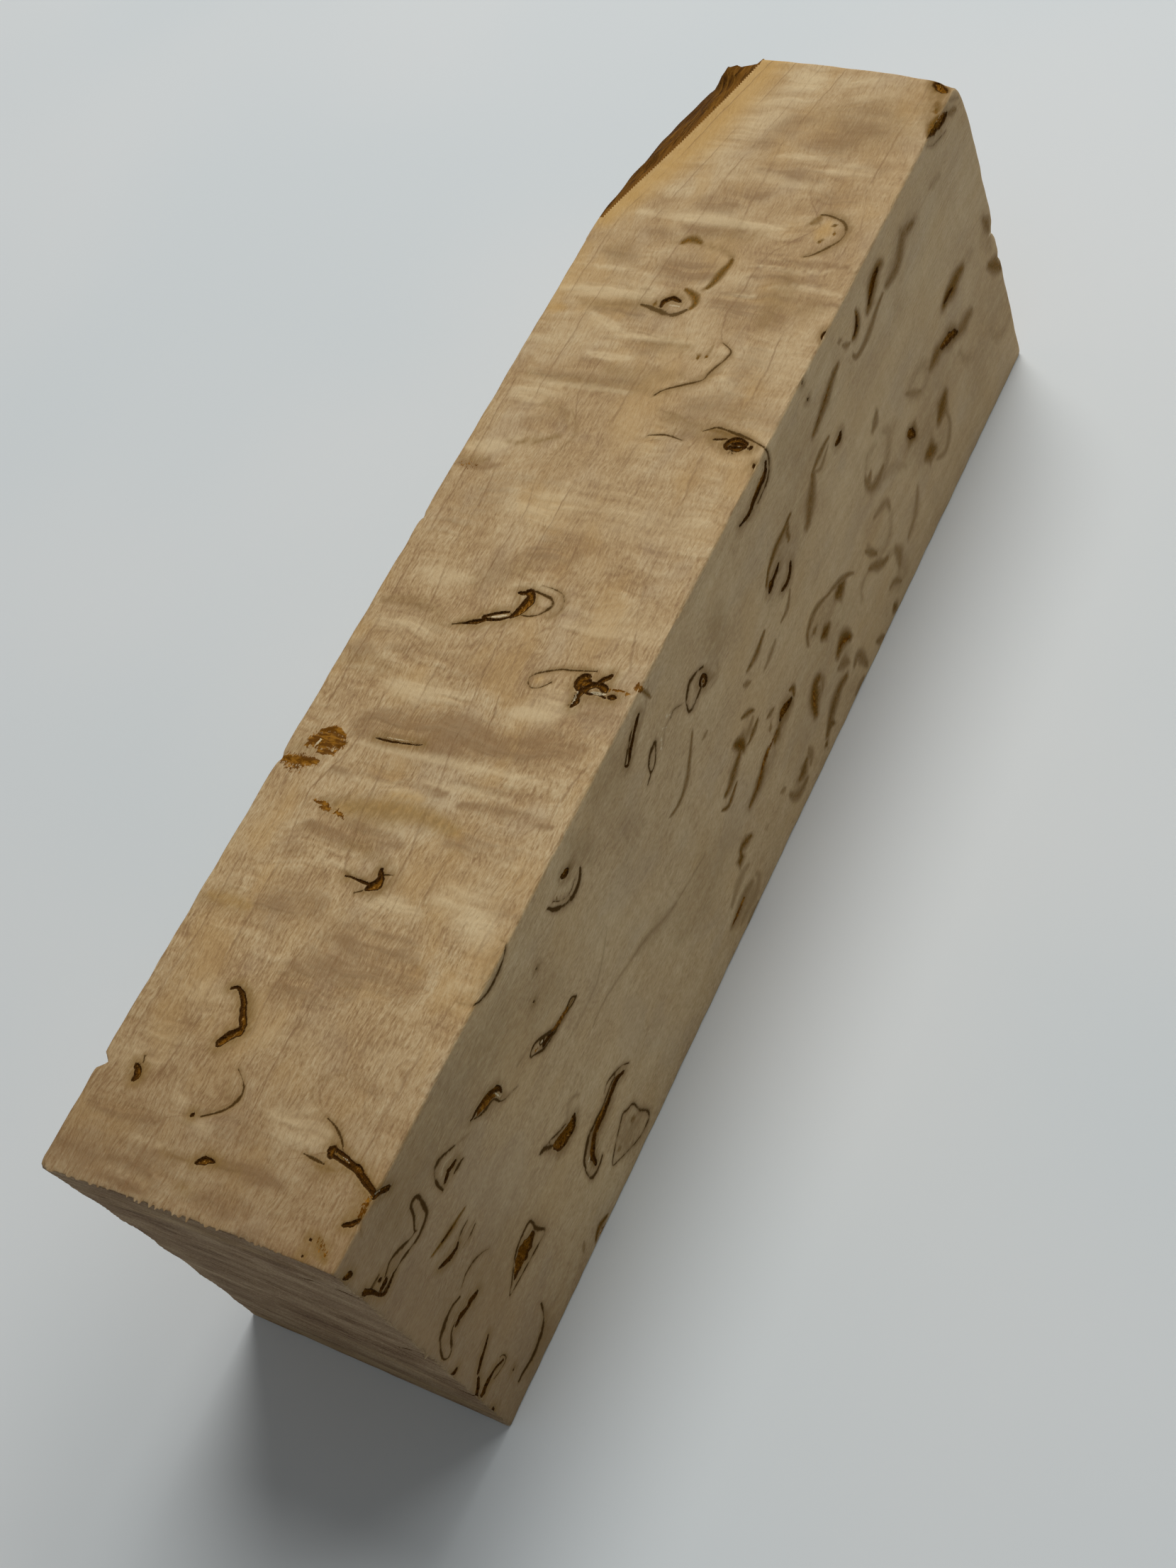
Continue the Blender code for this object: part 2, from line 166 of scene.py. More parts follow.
# Marks on the upper face: each point is X and Y
TOP_MARKS = [
    # Spot near the left edge
    bark((0.12, 0.28, 0.16), (-56.5, 10.9), (-56, 10.75), (-55.5, 11), (-55.2, 11.4)),
    line(0.12, 0.8, (-55.2, 11.3), (-54.9, 10.9), (-54.3, 11.1)),
    rust(0.3, 0.6, (-56.3, 10.7), (-55.4, 10.9)),
    haze(0.8, 0.4, (-56.2, 10.2), (-55, 10.4)),
    # Check mark
    bark((0.25, 0.32, 0.24), (-51.2, 5.1), (-50.6, 4.75), (-50, 4.25), (-49.5, 3.85), (-49, 3.85)),
    bark((0.24, 0.2, 0.08), (-49, 3.85), (-48.4, 4.25), (-47.6, 4.7), (-46.9, 5.15), (-46.4, 5.6),
         (-46.1, 6.1), (-46.15, 6.5), (-46.4, 6.8)),
    haze(0.7, 0.5, (-50.6, 4), (-48.8, 3.3), (-46.6, 4.7), (-45.6, 6.2)),
    # Near spot
    bark((0.12, 0.3, 0.1), (-60.9, 1.2), (-60.5, 0.6), (-60.3, 0.1), (-60.3, -0.3)),
    line(0.1, 0.5, (-61.1, 4.5), (-61.05, 2.8), (-60.9, 1.3)),
    haze(0.6, 0.5, (-60.4, 0.6), (-60.3, -1), (-60.3, -2.8)),
    haze(0.5, 0.3, (-60.9, 2), (-61.2, 4.6)),
    # Faint arc
    line(0.15, 0.88, (-57.3, 3), (-56.3, 1.5), (-55.2, 0.7), (-54.2, 0.6), (-53.4, 1.1), (-52.6, 2.1)),
    haze(0.7, 0.25, (-56.6, 2.6), (-55, 1.5), (-53.2, 2)),
    bark((0.1, 0.12, 0.1), (-57.5, 3.9), (-57.3, 3.85)),
    # Slit over the right ridge
    bark((0.2, 0.26, 0.2), (-56.5, -9.7), (-56.1, -9.55), (-55.8, -9.6)),
    bark((0.1, 0.09, 0.09), (-56.4, -9.9), (-56.65, -11.2), (-56.95, -12.4), (-57.7, -13.9),
         (-58.1, -14.9)),
    bark((0.1, 0.09, 0.09), (-55.85, -9.9), (-56.1, -11), (-56.5, -12.2), (-57.1, -13.5), (-57.8, -14.8)),
    bark((0.16, 0.24, 0.16), (-56.55, -12.1), (-56.8, -12.9)),
    stain(0.24, 0.7, (-56.1, -9.9), (-56.7, -12.4), (-57.8, -14.8)),
    pale(0.09, 0.7, (-56.2, -10.6), (-56.3, -11.1), (-56.5, -11.7)),
    rust(0.3, 0.8, (-56.3, -11), (-56.9, -12.9), (-57.5, -14), (-58, -14.9)),
    line(0.16, 0.8, (-55.9, -10.6), (-55, -9.9), (-54.2, -8.8), (-53.8, -7.8)),
    line(0.16, 0.85, (-57.3, -9.5), (-57.2, -8.4), (-57.1, -7.4)),
    stain(0.3, 0.5, (-57.5, -10.6), (-57.6, -8.8)),
    line(0.1, 0.3, (-57, -7.1), (-57.6, -5.6), (-60, -5.1)),
    line(0.1, 0.4, (-53.8, -7.8), (-52.9, -5.9), (-51.8, -5.3), (-50.3, -6.4), (-50.2, -8)),
    haze(0.6, 0.45, (-56, -10.5), (-54.6, -9.2), (-53.8, -7.6)),
    haze(0.7, 0.4, (-57.4, -11.5), (-58, -9.5), (-57.2, -7.6)),
    # Rust and chips along the near part of the right ridge, and a thin line of painted shade along the
    # rolled-over ridge
    stain(0.4, 0.5, (-64.2, -13.8), (-63.6, -12.9), (-62.7, -12.2)),
    rust(0.6, 0.35, (-63.8, -13.6), (-62.8, -12.4)),
    haze(1, 0.7, (-64, -13.6), (-62.7, -12.3)),
    haze(0.4, 0.7, (-63, 1.8), (-63.2, 0.9), (-63.3, 0)),
    bark((0.06, 0.09, 0.06), (-64.5, -11.8), (-64.4, -11.7)),
    bark((0.06, 0.09, 0.06), (-63.1, -11.7), (-63, -11.6)),
    bark((0.12, 0.16, 0.12), (-61.1, -13.7), (-60.8, -14.3), (-60.3, -14.8)),
    rust(0.5, 0.5, (-60.3, -14.8), (-59.2, -14.6), (-58.2, -14.8)),
    stain(0.2, 0.5, (-60.3, -14.9), (-59.2, -14.8), (-58.2, -14.9)),
    haze(0.9, 0.6, (-60.6, -14.2), (-58.4, -13.9)),
    # Painted shade: a thin dark line along the rolled-over ridge
    line(0.12, 0.6, (-66, -14.95), (-63, -14.95), (-60.4, -14.95)),
    # Arc over the right ridge
    line(0.12, 0.5, (-41.3, -13.4), (-41.3, -14.2), (-41.1, -15)),
    line(0.1, 0.6, (-35.2, -15), (-35.2, -14.4)),
    haze(0.6, 0.3, (-40.8, -14.4), (-38, -14.6), (-36, -14.5)),
    # Spider
    bark((0.04, 0.07, 0.14), (-33.75, 2.3), (-33.7, 1.6), (-33.8, 0.9), (-33.9, -0.4)),
    bark((0.22, 0.38, 0.28), (-34.3, -0.4), (-34, -0.8), (-33.6, -1.1), (-33.2, -1.1)),
    bark((0.2, 0.2, 0.1), (-33.2, -1.1), (-32.8, -0.95), (-32.4, -0.7), (-32.2, -0.75)),
    line(0.08, 0.9, (-33.75, 1.6), (-33.6, 2.1), (-33.3, 2.4)),
    line(0.1, 0.9, (-32.8, -1), (-32.6, -1.5), (-32.5, -2)),
    line(0.1, 0.8, (-34.2, -0.6), (-34.7, 0.1), (-35, 0.6)),
    line(0.1, 0.6, (-34.4, -1.4), (-33.9, -1.9), (-32.4, -2.1)),
    line(0.1, 0.6, (-34.2, -0.9), (-34.8, -1.2), (-35.4, -1.1)),
    haze(0.7, 0.5, (-32.2, -1.8), (-31.3, 0.3), (-31, 2), (-31, 4)),
    haze(0.6, 0.35, (-34.6, -1.8), (-33.2, -2.6), (-31.8, -2.2)),
    # Rust spots and yellow stain
    rust(0.22, 0.9, (-27.95, 9), (-27.9, 8.3), (-27.9, 7.6)),
    rust(0.34, 1, (-28.3, 8.1), (-28.3, 7.5)),
    rust(0.3, 0.9, (-28.4, 6.4), (-28.6, 5.7)),
    gold(1, 0.7, (-27.9, 6.6), (-27, 3), (-26.5, -0.5), (-26.6, -3), (-27.2, -5.6)),
    haze(0.4, 0.6, (-28.3, 6.6), (-27.8, 3.4), (-27.3, 0.6)),
    haze(0.3, 0.6, (-26.2, -1.6), (-26.6, -4), (-27.2, -5.6)),
    haze(0.25, 0.5, (-26.9, 5), (-26.4, 1.6)),
    gold(0.6, 0.5, (-25.4, 2.5), (-25, -1)),
    gold(0.6, 0.5, (-39.1, 14), (-38.9, 9.3)),
    haze(0.5, 0.35, (-39.3, 12.8), (-39.1, 9.8)),
    # Rust-brown patch over the left edge
    rust(0.6, 1, (-24.8, 15), (-24.7, 14), (-24.6, 13), (-24.5, 12), (-24.2, 10.9)),
    rust(0.9, 0.5, (-24.9, 15), (-24.6, 12.6)),
    stain(0.22, 0.7, (-24.75, 15), (-24.6, 13), (-24.4, 11.2)),
    rust(0.3, 1, (-23.3, 11.5), (-23.2, 10.8), (-23.1, 10)),
    rust(0.3, 0.9, (-22.8, 12.9), (-22.2, 12.5), (-21.9, 12.1)),
    rust(0.34, 1, (-21.2, 12.4), (-20.7, 11), (-21.1, 9.8)),
    rust(1.5, 0.85, (-22.3, 12.6), (-21.9, 11), (-22, 9.8)),
    haze(1.6, 0.5, (-23.6, 14), (-22, 10.4)),
    stain(0.2, 0.6, (-21.4, 12.5), (-20.8, 11.2), (-21, 10)),
    stain(0.12, 0.7, (-22.5, 9.9), (-22.3, 9.7)),
    stain(0.12, 0.7, (-21.9, 9.4), (-21.7, 9.2)),
    stain(0.12, 0.7, (-22.1, 10.6), (-21.9, 10.4)),
    pale(0.16, 1, (-22.5, 12), (-22.1, 11.9)),
    line(0.08, 0.9, (-22.6, 11.8), (-22, 11.7)),
    rust(0.7, 0.45, (-25.5, 14), (-25.3, 12)),
    # Crack
    bark((0.03, 0.07, 0.05), (-20.5, 6.7), (-20.5, 5.3), (-20.4, 4.5)),
    bark((0.05, 0.05, 0.02), (-20.4, 4.5), (-20.35, 3.8), (-20.15, 2.4), (-20, 2)),
    pale(0.12, 0.6, (-20.2, 5.6), (-20.15, 4.4), (-20, 3)),
    # Hook
    line(0.14, 0.8, (-11.1, -6.7), (-11.7, -6.1), (-12, -5.5), (-12, -5), (-11.6, -4.6), (-11.1, -4.5),
         (-10.7, -4.8), (-10.3, -5.4), (-9.6, -7), (-9.5, -7.8), (-9.3, -8.8), (-9, -10.3)),
    gold(0.5, 0.45, (-11.4, -5.4), (-10.8, -5.6)),
    haze(0.4, 0.4, (-10, -6), (-9.3, -7.6), (-8.9, -9.6)),
    # Blob
    bark((0.25, 0.34, 0.28), (-10.9, -9.4), (-10.4, -9.2), (-9.9, -9.4), (-9.7, -9.8)),
    bark((0.3, 0.36, 0.24), (-10.4, -9.6), (-10.2, -10)),
    bark((0.12, 0.2, 0.18), (-12.9, -9.7), (-12.4, -9.95), (-11.9, -9.8), (-11.3, -9.95)),
    bark((0.2, 0.26, 0.22), (-11, -10.1), (-10.6, -10.4), (-10.3, -10.9), (-10.3, -11.6), (-10.6, -12)),
    bark((0.14, 0.2, 0.12), (-10, -11), (-9.6, -11.3), (-9.4, -11.6), (-9, -11.9)),
    bark((0.08, 0.1, 0.06), (-11.2, -10.2), (-11.3, -10.8), (-11.1, -11.3), (-11.3, -12.3)),
    bark((0.18, 0.22, 0.14), (-11.1, -12.7), (-11.1, -13.2)),
    line(0.1, 0.9, (-12.8, -9.4), (-12.2, -9.55), (-11.5, -9.4)),
    pale(0.12, 0.9, (-12.6, -9.62), (-11.9, -9.62), (-11.3, -9.6)),
    pale(0.2, 0.9, (-11.1, -10.8), (-11, -12.2)),
    rust(0.3, 0.9, (-10.5, -9.7), (-10.2, -10.2)),
    rust(0.16, 0.8, (-10.4, -12.4), (-10.3, -13.6), (-10.4, -14)),
    rust(0.4, 0.8, (-9.9, -14.7), (-9.3, -14.7)),
    haze(0.9, 0.4, (-12.2, -10.6), (-11.6, -12.6), (-10.4, -13.8)),
    # Eye
    line(0.1, 0.9, (-7.6, 5.6), (-7.4, 5), (-7.1, 4.2)),
    bark((0.06, 0.2, 0.18), (-7.3, 4.7), (-7, 3.9), (-6.8, 3.3), (-6.4, 2.7)),
    bark((0.14, 0.1, 0.08), (-6.4, 2.7), (-6.25, 2), (-6.05, 1.3), (-5.6, 0.5)),
    bark((0.1, 0.12, 0.1), (-6.2, 3.1), (-5.7, 2.3), (-5.4, 1.6), (-5.1, 0.8)),
    pale(0.2, 0.9, (-6, 2.2), (-5.8, 1.5), (-5.5, 0.9)),
    bark((0.15, 0.3, 0.38), (-5.5, 0.4), (-5.1, 0.1), (-4.6, -0.15), (-4, -0.4)),
    bark((0.38, 0.36, 0.3), (-4, -0.4), (-3.4, -0.5), (-2.9, -0.35), (-2.7, 0)),
    bark((0.26, 0.16, 0.1), (-2.7, 0), (-2.9, 0.5), (-2.9, 0.9)),
    line(0.16, 0.9, (-5.2, -0.3), (-5.1, -1.2), (-4.8, -2), (-4.2, -2.55), (-3.6, -2.9), (-3.1, -2.8),
         (-2.75, -2.2), (-2.45, -0.7), (-2.3, 0)),
    line(0.18, 0.7, (-4.9, -3.2), (-4.4, -3.7), (-3.8, -3.95), (-3.1, -3.95), (-2.5, -3.6), (-2.1, -3.2),
         (-1.8, -2.2), (-1.7, -1)),
    haze(0.6, 0.45, (-4.6, -3.4), (-3.4, -3.6), (-2.3, -2.8)),
    glow(0.5, 0.5, (-2.2, -2.9), (-2, -1), (-2.1, 1), (-2.6, 2.2)),
    haze(0.8, 0.35, (-8, 6), (-7.8, 8)),
    # Faint arcs and stains further along
    line(0.14, 0.5, (13.3, 4.8), (14, 4.5), (15.1, 4.2), (16.6, 4.8), (17.9, 5.9)),
    haze(0.3, 0.8, (10.4, 14.4), (10.2, 13), (10.8, 11.4)),
    glow(1, 0.8, (11.8, 14.4), (12.4, 12), (13.6, 9.6)),
    haze(0.3, 0.9, (13, 10.6), (13.5, 8.4), (14.2, 6.4), (15.2, 5.4)),
    haze(0.3, 0.6, (15.2, 5.4), (16.6, 5.6), (17.6, 7), (18.4, 9)),
    shade(1.1, 0.6, (15.6, 10), (16, 8), (16.2, 6.4)),
    glow(0.6, 0.6, (17.6, 11.6), (17.4, 9)),
    rust(1.1, 0.22, (9.6, 14.6), (9.6, 12)),
    haze(0.6, 0.4, (10.4, 14.6), (10.1, 12.8), (10.6, 11.6)),
    gold(0.9, 0.6, (29.8, 14.8), (29.9, 13)),
    haze(0.6, 0.35, (37.3, 10.6), (37.3, 9.4)),
    # Long outline and knot at the right ridge
    line(0.12, 0.85, (16.5, -3.1), (16.85, -4.6), (16.8, -5.5), (16.6, -6.6)),
    line(0.14, 0.5, (19.5, -3), (19.25, -5), (18.6, -6.3)),
    line(0.1, 0.6, (17, -5.5), (17.8, -5.5)),
    line(0.1, 0.6, (17, -6.4), (17.8, -6.6)),
    shade(0.7, 0.5, (17.2, -6.3), (17.2, -8)),
    haze(1.2, 0.55, (18.8, -4), (18.4, -7), (17.9, -10), (17, -13.6)),
    stain(0.3, 0.6, (18.3, -8.8), (18.2, -10.6), (17.8, -12.6)),
    line(0.14, 0.9, (18, -8.2), (18.6, -9.3), (18.55, -10.3), (18.35, -11.2), (17.95, -13), (17.4, -14.6),
         (17.2, -15)),
    bark((0.03, 0.06, 0.03), (17.3, -9.6), (17.45, -10.3), (17.6, -10.9)),
    bark((0.14, 0.22, 0.16), (16.5, -11.3), (16.9, -11.1), (17.5, -11.5), (17.65, -12.3), (17.4, -13)),
    bark((0.16, 0.24, 0.12), (16.7, -11.6), (16.7, -12.4), (17, -13)),
    bark((0.14, 0.24, 0.14), (17.1, -11.7), (17.15, -12.2), (17.2, -12.8)),
    pale(0.12, 0.6, (17.1, -12.2), (17.1, -12.4)),
    line(0.1, 0.7, (16, -11.7), (16.4, -11.9)),
    bark((0.12, 0.15, 0.1), (16.9, -13.6), (17.2, -13.65)),
    line(0.1, 0.8, (16.1, -12.1), (16.5, -11.9)),
    haze(0.7, 0.55, (17.1, -11.4), (17, -13.6)),
    bark((0.1, 0.15, 0.1), (15, -14.9), (15.3, -14.7)),
    bark((0.1, 0.16, 0.1), (30.6, -14.95), (31, -14.85), (31.4, -14.9)),
    # Long wavy line
    haze(0.5, 0.6, (21.6, -2.2), (23.4, -5), (25, -6.2), (27.4, -7)),
    line(0.16, 0.85, (21.2, -1.6), (21.9, -2.2), (22.8, -3.8), (23.7, -5.4), (24.5, -5.7), (25.3, -6),
         (26.1, -6.4), (26.8, -6.7), (27.6, -6.7), (28.4, -5.5)),
    stain(0.2, 0.9, (26.1, -3.8), (26.3, -3.8)),
    stain(0.2, 0.9, (26.4, -4.6), (26.6, -4.6)),
    stain(0.18, 0.4, (26.6, -4.6), (27.9, -4.7)),
    haze(0.5, 0.35, (26.4, -3.2), (26.8, -5.4)),
    # Hooked eye
    line(0.14, 0.4, (31, 9), (31.4, 6.2), (31.6, 5)),
    haze(1, 0.6, (31.2, 8), (31.7, 5.4), (32, 3)),
    line(0.26, 0.95, (31.6, 5), (31.4, 3.9), (31.1, 3), (30.85, 1.2), (31.2, 0.5), (31.7, 0)),
    stain(0.32, 0.9, (31.9, -0.3), (32.4, -0.5), (33, -0.4), (33.6, 0.1), (34.2, 1.3)),
    stain(0.16, 0.9, (31.6, 3.6), (32.1, 3.6)),
    bark((0.12, 0.2, 0.2), (31.7, 2.8), (32.3, 2.8), (32.7, 2.4)),
    bark((0.2, 0.2, 0.12), (32.7, 2.4), (32.9, 2), (32.75, 1.5), (32.6, 1.1)),
    line(0.14, 0.4, (33.6, 6), (33.6, 5)),
    pale(0.3, 0.5, (32, 1.9), (32, 1)),
    # Two strokes beyond it
    stain(0.34, 0.9, (34.6, -0.8), (35.2, -1.1), (36, -1.3), (37, -1.5), (38, -1.8), (38.6, -1.8)),
    haze(0.35, 0.9, (38.6, -1.8), (39.3, -1.2), (39.7, -0.4)),
    stain(0.4, 0.85, (39.9, 4.4), (40.4, 3.9), (40.5, 3.2), (40.2, 2.4)),
    haze(0.4, 0.8, (40, 2.4), (39.9, 0.8), (39.7, -0.6)),
    haze(0.7, 0.3, (39.4, 5.4), (40.6, 4.4), (41, 2.6)),
    # Golden pocket with dots
    haze(0.6, 0.6, (40.2, -9), (41.4, -11), (43.4, -12), (45.2, -11), (45.8, -9)),
    line(0.2, 0.85, (40, -8.9), (40.4, -9.7), (41.5, -10.8), (42.6, -11.6), (43.5, -11.75), (44.3, -11.5),
         (45, -10.8), (45.5, -9.2), (45.5, -8.4)),
    stain(0.24, 0.85, (42, -9.6), (42.2, -9.7)),
    stain(0.2, 0.85, (43.2, -10.7), (43.4, -10.7)),
    stain(0.26, 0.85, (44.3, -10.2), (44.4, -10.4)),
    stain(0.38, 0.6, (44.2, -7.8), (44.8, -8.3), (45.3, -8.4)),
    gold(1.1, 0.6, (42.6, -9.4), (44.4, -9.6)),
    # Far right corner
    haze(0.5, 0.4, (59, -8.8), (59.2, -10.2), (58.8, -11.5)),
    haze(1.5, 0.8, (63.9, -13.3), (61.4, -14.2), (57.8, -14.8)),
    haze(3, 0.3, (58.4, -3), (59, -7.7), (57.8, -11.9), (54.9, -7)),
    stain(0.4, 0.85, (57, -15), (58.6, -14.8), (59.8, -15)),
    stain(0.3, 0.8, (60.1, -14.5), (60.6, -14.3)),
    bark((0.3, 0.42, 0.3), (64.1, -13), (63.7, -13.6), (63.3, -14.1)),
    stain(0.6, 1, (64.2, -12.9), (63.7, -13.6), (63.2, -14.3)),
    haze(1.2, 0.8, (64.4, -12.6), (62.8, -14.4)),
    stain(0.4, 0.6, (61.6, -14), (60.6, -14.6)),
    # Olive brown drifts between the bands
    haze(1, 0.45, (-39.4, 14.6), (-39, 12), (-39.3, 9.6)),
    haze(0.9, 0.35, (-13.6, 14.4), (-13.4, 11.8), (-13.6, 9.4)),
    haze(0.6, 0.5, (-6.6, 13.8), (-6.2, 10.4), (-6.7, 7.4)),
    haze(1.6, 0.3, (-2.6, 6), (-1.4, 3.6), (-0.4, 1.6)),
    haze(0.7, 0.4, (21.4, 12.6), (21.4, 4), (21.6, -3)),
    haze(1, 0.45, (23.2, 4.6), (23, 0.6), (23.8, -3.4)),
    haze(0.8, 0.5, (27, 2.4), (27.3, -2.6)),
    haze(0.7, 0.5, (31, 11.4), (30.8, 6.8)),
    haze(1.4, 0.35, (38, 11.6), (37.4, 9.2)),
    haze(1.6, 0.5, (31.4, -8.4), (34.4, -8.8), (37.6, -8.2)),
    haze(1.2, 0.4, (33.4, -10.4), (34, -13.6)),
    haze(1.8, 0.3, (20.6, -6), (20.4, -11.6)),
    haze(1.4, 0.35, (41.4, 3), (42, -3)),
    haze(1.6, 0.3, (58, -5), (56, -9)),
    # Dark bands of the curl
    shade(2.4, 0.4, (-63.6, 14.6), (-63.2, 10), (-62.8, 4)),
    shade(0.4, 0.8, (-64.6, 9.4), (-64.7, 6), (-64.4, 3.4)),
    shade(0.4, 0.75, (-62.8, 9.6), (-62.6, 6), (-62.9, 3.6)),
    shade(0.6, 0.8, (-59.4, 13.6), (-59.2, 10.2), (-59, 6.4)),
    shade(0.3, 0.7, (-61.4, 7), (-61.3, 4.6), (-61, 2.4)),
    shade(1, 0.7, (-63.6, -0.2), (-63.2, -2.5), (-63, -5.4)),
    shade(0.8, 0.8, (-60.4, -0.4), (-60, -4), (-60.2, -7.2)),
    shade(1.6, 0.35, (-58, 4.6), (-57.4, 0), (-58.4, -4.6)),
    shade(0.8, 0.4, (-64.6, -5.5), (-64.2, -9)),
    shade(0.8, 0.45, (-50.6, -5.6), (-50.2, -8), (-50.4, -11.2)),
    shade(3, 0.75, (-44.5, 2), (-41.5, -1.5), (-40, -4.6), (-41, -8.2)),
    shade(1.6, 0.6, (-39.4, -0.5), (-38.4, -4), (-38, -7)),
    shade(2.2, 0.6, (-38.4, 8.6), (-37.6, 5.6), (-37.4, 3.4)),
    shade(1.2, 0.4, (-33, 9.6), (-32.6, 7.6)),
    shade(0.7, 0.45, (-33, -11.6), (-32.8, -14.6)),
    shade(1.1, 0.75, (-30.4, 8.4), (-30, 4), (-29.8, -1)),
    shade(1.4, 0.5, (-28, -5.4), (-27.4, -8.5), (-27.6, -11.6)),
    shade(0.9, 0.6, (-24.4, 9), (-23.8, 4), (-24, -2.4)),
    shade(0.55, 0.7, (-24.6, -4.4), (-24.2, -8.5), (-24.4, -13.6)),
    shade(0.6, 0.55, (-22.4, -3), (-22.6, -7), (-22.2, -11)),
    shade(2.2, 0.95, (-19.6, 8.6), (-18.8, 4), (-18.6, -1), (-18.2, -5.6)),
    shade(1.6, 0.8, (-18, -5), (-17.4, -8.6), (-16.8, -12.4)),
    shade(1, 0.6, (-13.4, -10.8), (-13.2, -14.4)),
    shade(1.8, 0.35, (-11.6, 3.6), (-11.2, -1.4)),
    shade(0.8, 0.4, (-11.4, 10.6), (-11.2, 7.6), (-11, 4.6)),
    shade(1.4, 0.4, (-12.4, 14.4), (-12, 12)),
    shade(0.5, 0.6, (-6.6, 14.2), (-6.4, 11), (-6.8, 8.6)),
    shade(2, 0.6, (1, 1.8), (2, -0.4), (2.8, -2.6)),
    shade(2.6, 0.35, (3.4, 12), (6.4, 10), (8.6, 8.6)),
    shade(0.6, 0.6, (9.8, 14.4), (9.6, 12), (10.2, 10.2)),
    shade(1.4, 0.3, (9.4, 7), (9.6, 3.6)),
    shade(0.8, 0.45, (17, 8.6), (17.4, 6.2)),
    shade(2.4, 0.35, (21, -5.4), (21.2, -10), (20.4, -14.6)),
    shade(0.9, 0.5, (21.9, 12.6), (21.7, 6), (22, -0.4)),
    shade(0.5, 0.5, (24, 8.6), (23.9, 4.6)),
    shade(1, 0.4, (24.8, -8.4), (24.6, -11.6)),
    shade(1.2, 0.55, (26.6, 3.8), (27.2, 0.6)),
    shade(1, 0.6, (30.4, 9.4), (30.6, 6.6), (30.2, 4.2)),
    shade(2.4, 0.7, (33.4, -2.6), (33, -6), (32, -9.6)),
    shade(0.5, 0.7, (36.8, -4.6), (37, -8), (36.8, -12.6)),
    shade(0.4, 0.7, (39.4, -7), (39.2, -10), (39.4, -14)),
    shade(0.5, 0.6, (34.4, -9), (34.8, -12), (34.6, -14.8)),
    shade(1.6, 0.5, (24.8, -8.8), (26.4, -9.4), (28.4, -9.2)),
    shade(2.2, 0.65, (36.6, 4.4), (36.8, 0.2)),
    shade(1.2, 0.4, (37.8, 12), (37, 8)),
    shade(1, 0.6, (42, 5), (42.2, -1.4)),
    shade(1.6, 0.7, (45.4, 4.6), (46.4, 1.4), (47.4, -1.6)),
    shade(1.2, 0.55, (41, 8.4), (40.6, 6)),
    shade(1.8, 0.45, (47.6, -7.6), (48, -10.8)),
    shade(1.2, 0.5, (50.6, 0.4), (50.4, -3.4), (50, -6.4)),
    shade(1.2, 0.5, (53.6, 2.6), (54.2, 0.4)),
    shade(1, 0.5, (51.6, -9.4), (52.4, -12.6)),
    shade(2.6, 0.6, (55, -3.4), (56, -6.4), (57.4, -9.8)),
    shade(1.2, 0.5, (60, -6), (59.4, -9.4)),
    shade(1.8, 0.5, (56.2, 1), (57.4, -1.6)),
    # Light bands of the curl
    glow(0.3, 0.6, (-60.9, 9.6), (-60.7, 6.4), (-60.6, 3.4)),
    glow(0.25, 0.5, (-63.8, 9), (-63.7, 5)),
    glow(1.2, 0.5, (-58.2, 1.6), (-57.4, 4.6), (-55.6, 6.6)),
    glow(1.8, 0.6, (-55.2, -3), (-55, -8.8)),
    glow(3, 0.4, (-54.6, 13.8), (-53.4, 11), (-52.6, 8.6)),
    glow(1.4, 0.4, (-48.6, 1), (-48, -3.6)),
    glow(2.6, 0.4, (-47.8, 10), (-47, 7.2)),
    glow(1.6, 0.4, (-47.6, -8), (-47, -12)),
    glow(0.9, 0.8, (-35.4, -1), (-35, -3.4), (-35.2, -6.4)),
    glow(2.8, 0.6, (-36, -13), (-33, -10), (-33.4, -7.6)),
    glow(0.35, 0.8, (-33.2, 6.4), (-33, 3.4), (-33.6, 1)),
    glow(0.3, 0.7, (-32, 6), (-31.8, 2.6)),
    glow(0.3, 0.8, (-28.6, -9), (-28.8, -13)),
    glow(0.4, 0.8, (-24.9, 6.4), (-24.7, 2.6), (-25, -1.6)),
    haze(1.3, 0.75, (-27.8, 8), (-27.3, 2.6), (-26.6, -1), (-27, -5)),
    glow(0.45, 0.85, (-23.3, 0.4), (-23.2, -4), (-23, -9)),
    glow(0.5, 0.8, (-21.4, 9.4), (-21.2, 2), (-20.8, -4), (-20.6, -11)),
    glow(1.4, 0.7, (-15.2, 9), (-15, 5), (-14.8, 0.8)),
    glow(2.2, 0.7, (-14.8, -5.4), (-13.6, -7.4), (-12.6, -9.8)),
    glow(1.8, 0.5, (-9, 13), (-8.6, 7)),
    glow(3.2, 0.45, (-5.4, -5.6), (-4.4, -9.6), (-4, -14)),
    glow(1.4, 0.5, (-3, 12), (-2.6, 6)),
    glow(4, 0.4, (6, 5), (7.6, 0), (7, -7.6), (8, -13)),
    glow(1.6, 0.6, (18.8, 13), (19.4, 8)),
    glow(0.45, 0.95, (20.6, 9.4), (20.9, 5), (20.9, 0.8)),
    glow(0.5, 0.9, (25, 7.8), (24.8, 5.6), (24.9, 3)),
    glow(2.4, 0.4, (27, -8), (28, -13)),
    glow(0.45, 0.9, (27.9, 6.4), (27.7, 2), (27.9, -2.4)),
    glow(0.6, 0.9, (29.6, 9.6), (28.9, 7.6), (28.5, 5.6)),
    glow(1, 0.8, (32.4, 14.4), (32.6, 9), (32.8, 4.6)),
    glow(0.5, 0.7, (33.8, -3), (34.4, -6)),
    glow(0.5, 0.7, (35.6, 12.4), (35.8, 8.6), (35.4, 6)),
    glow(0.5, 0.8, (35.8, -7), (36.2, -11), (35.8, -14.6)),
    glow(0.4, 0.8, (38.2, -5), (38, -9), (38.6, -12.4)),
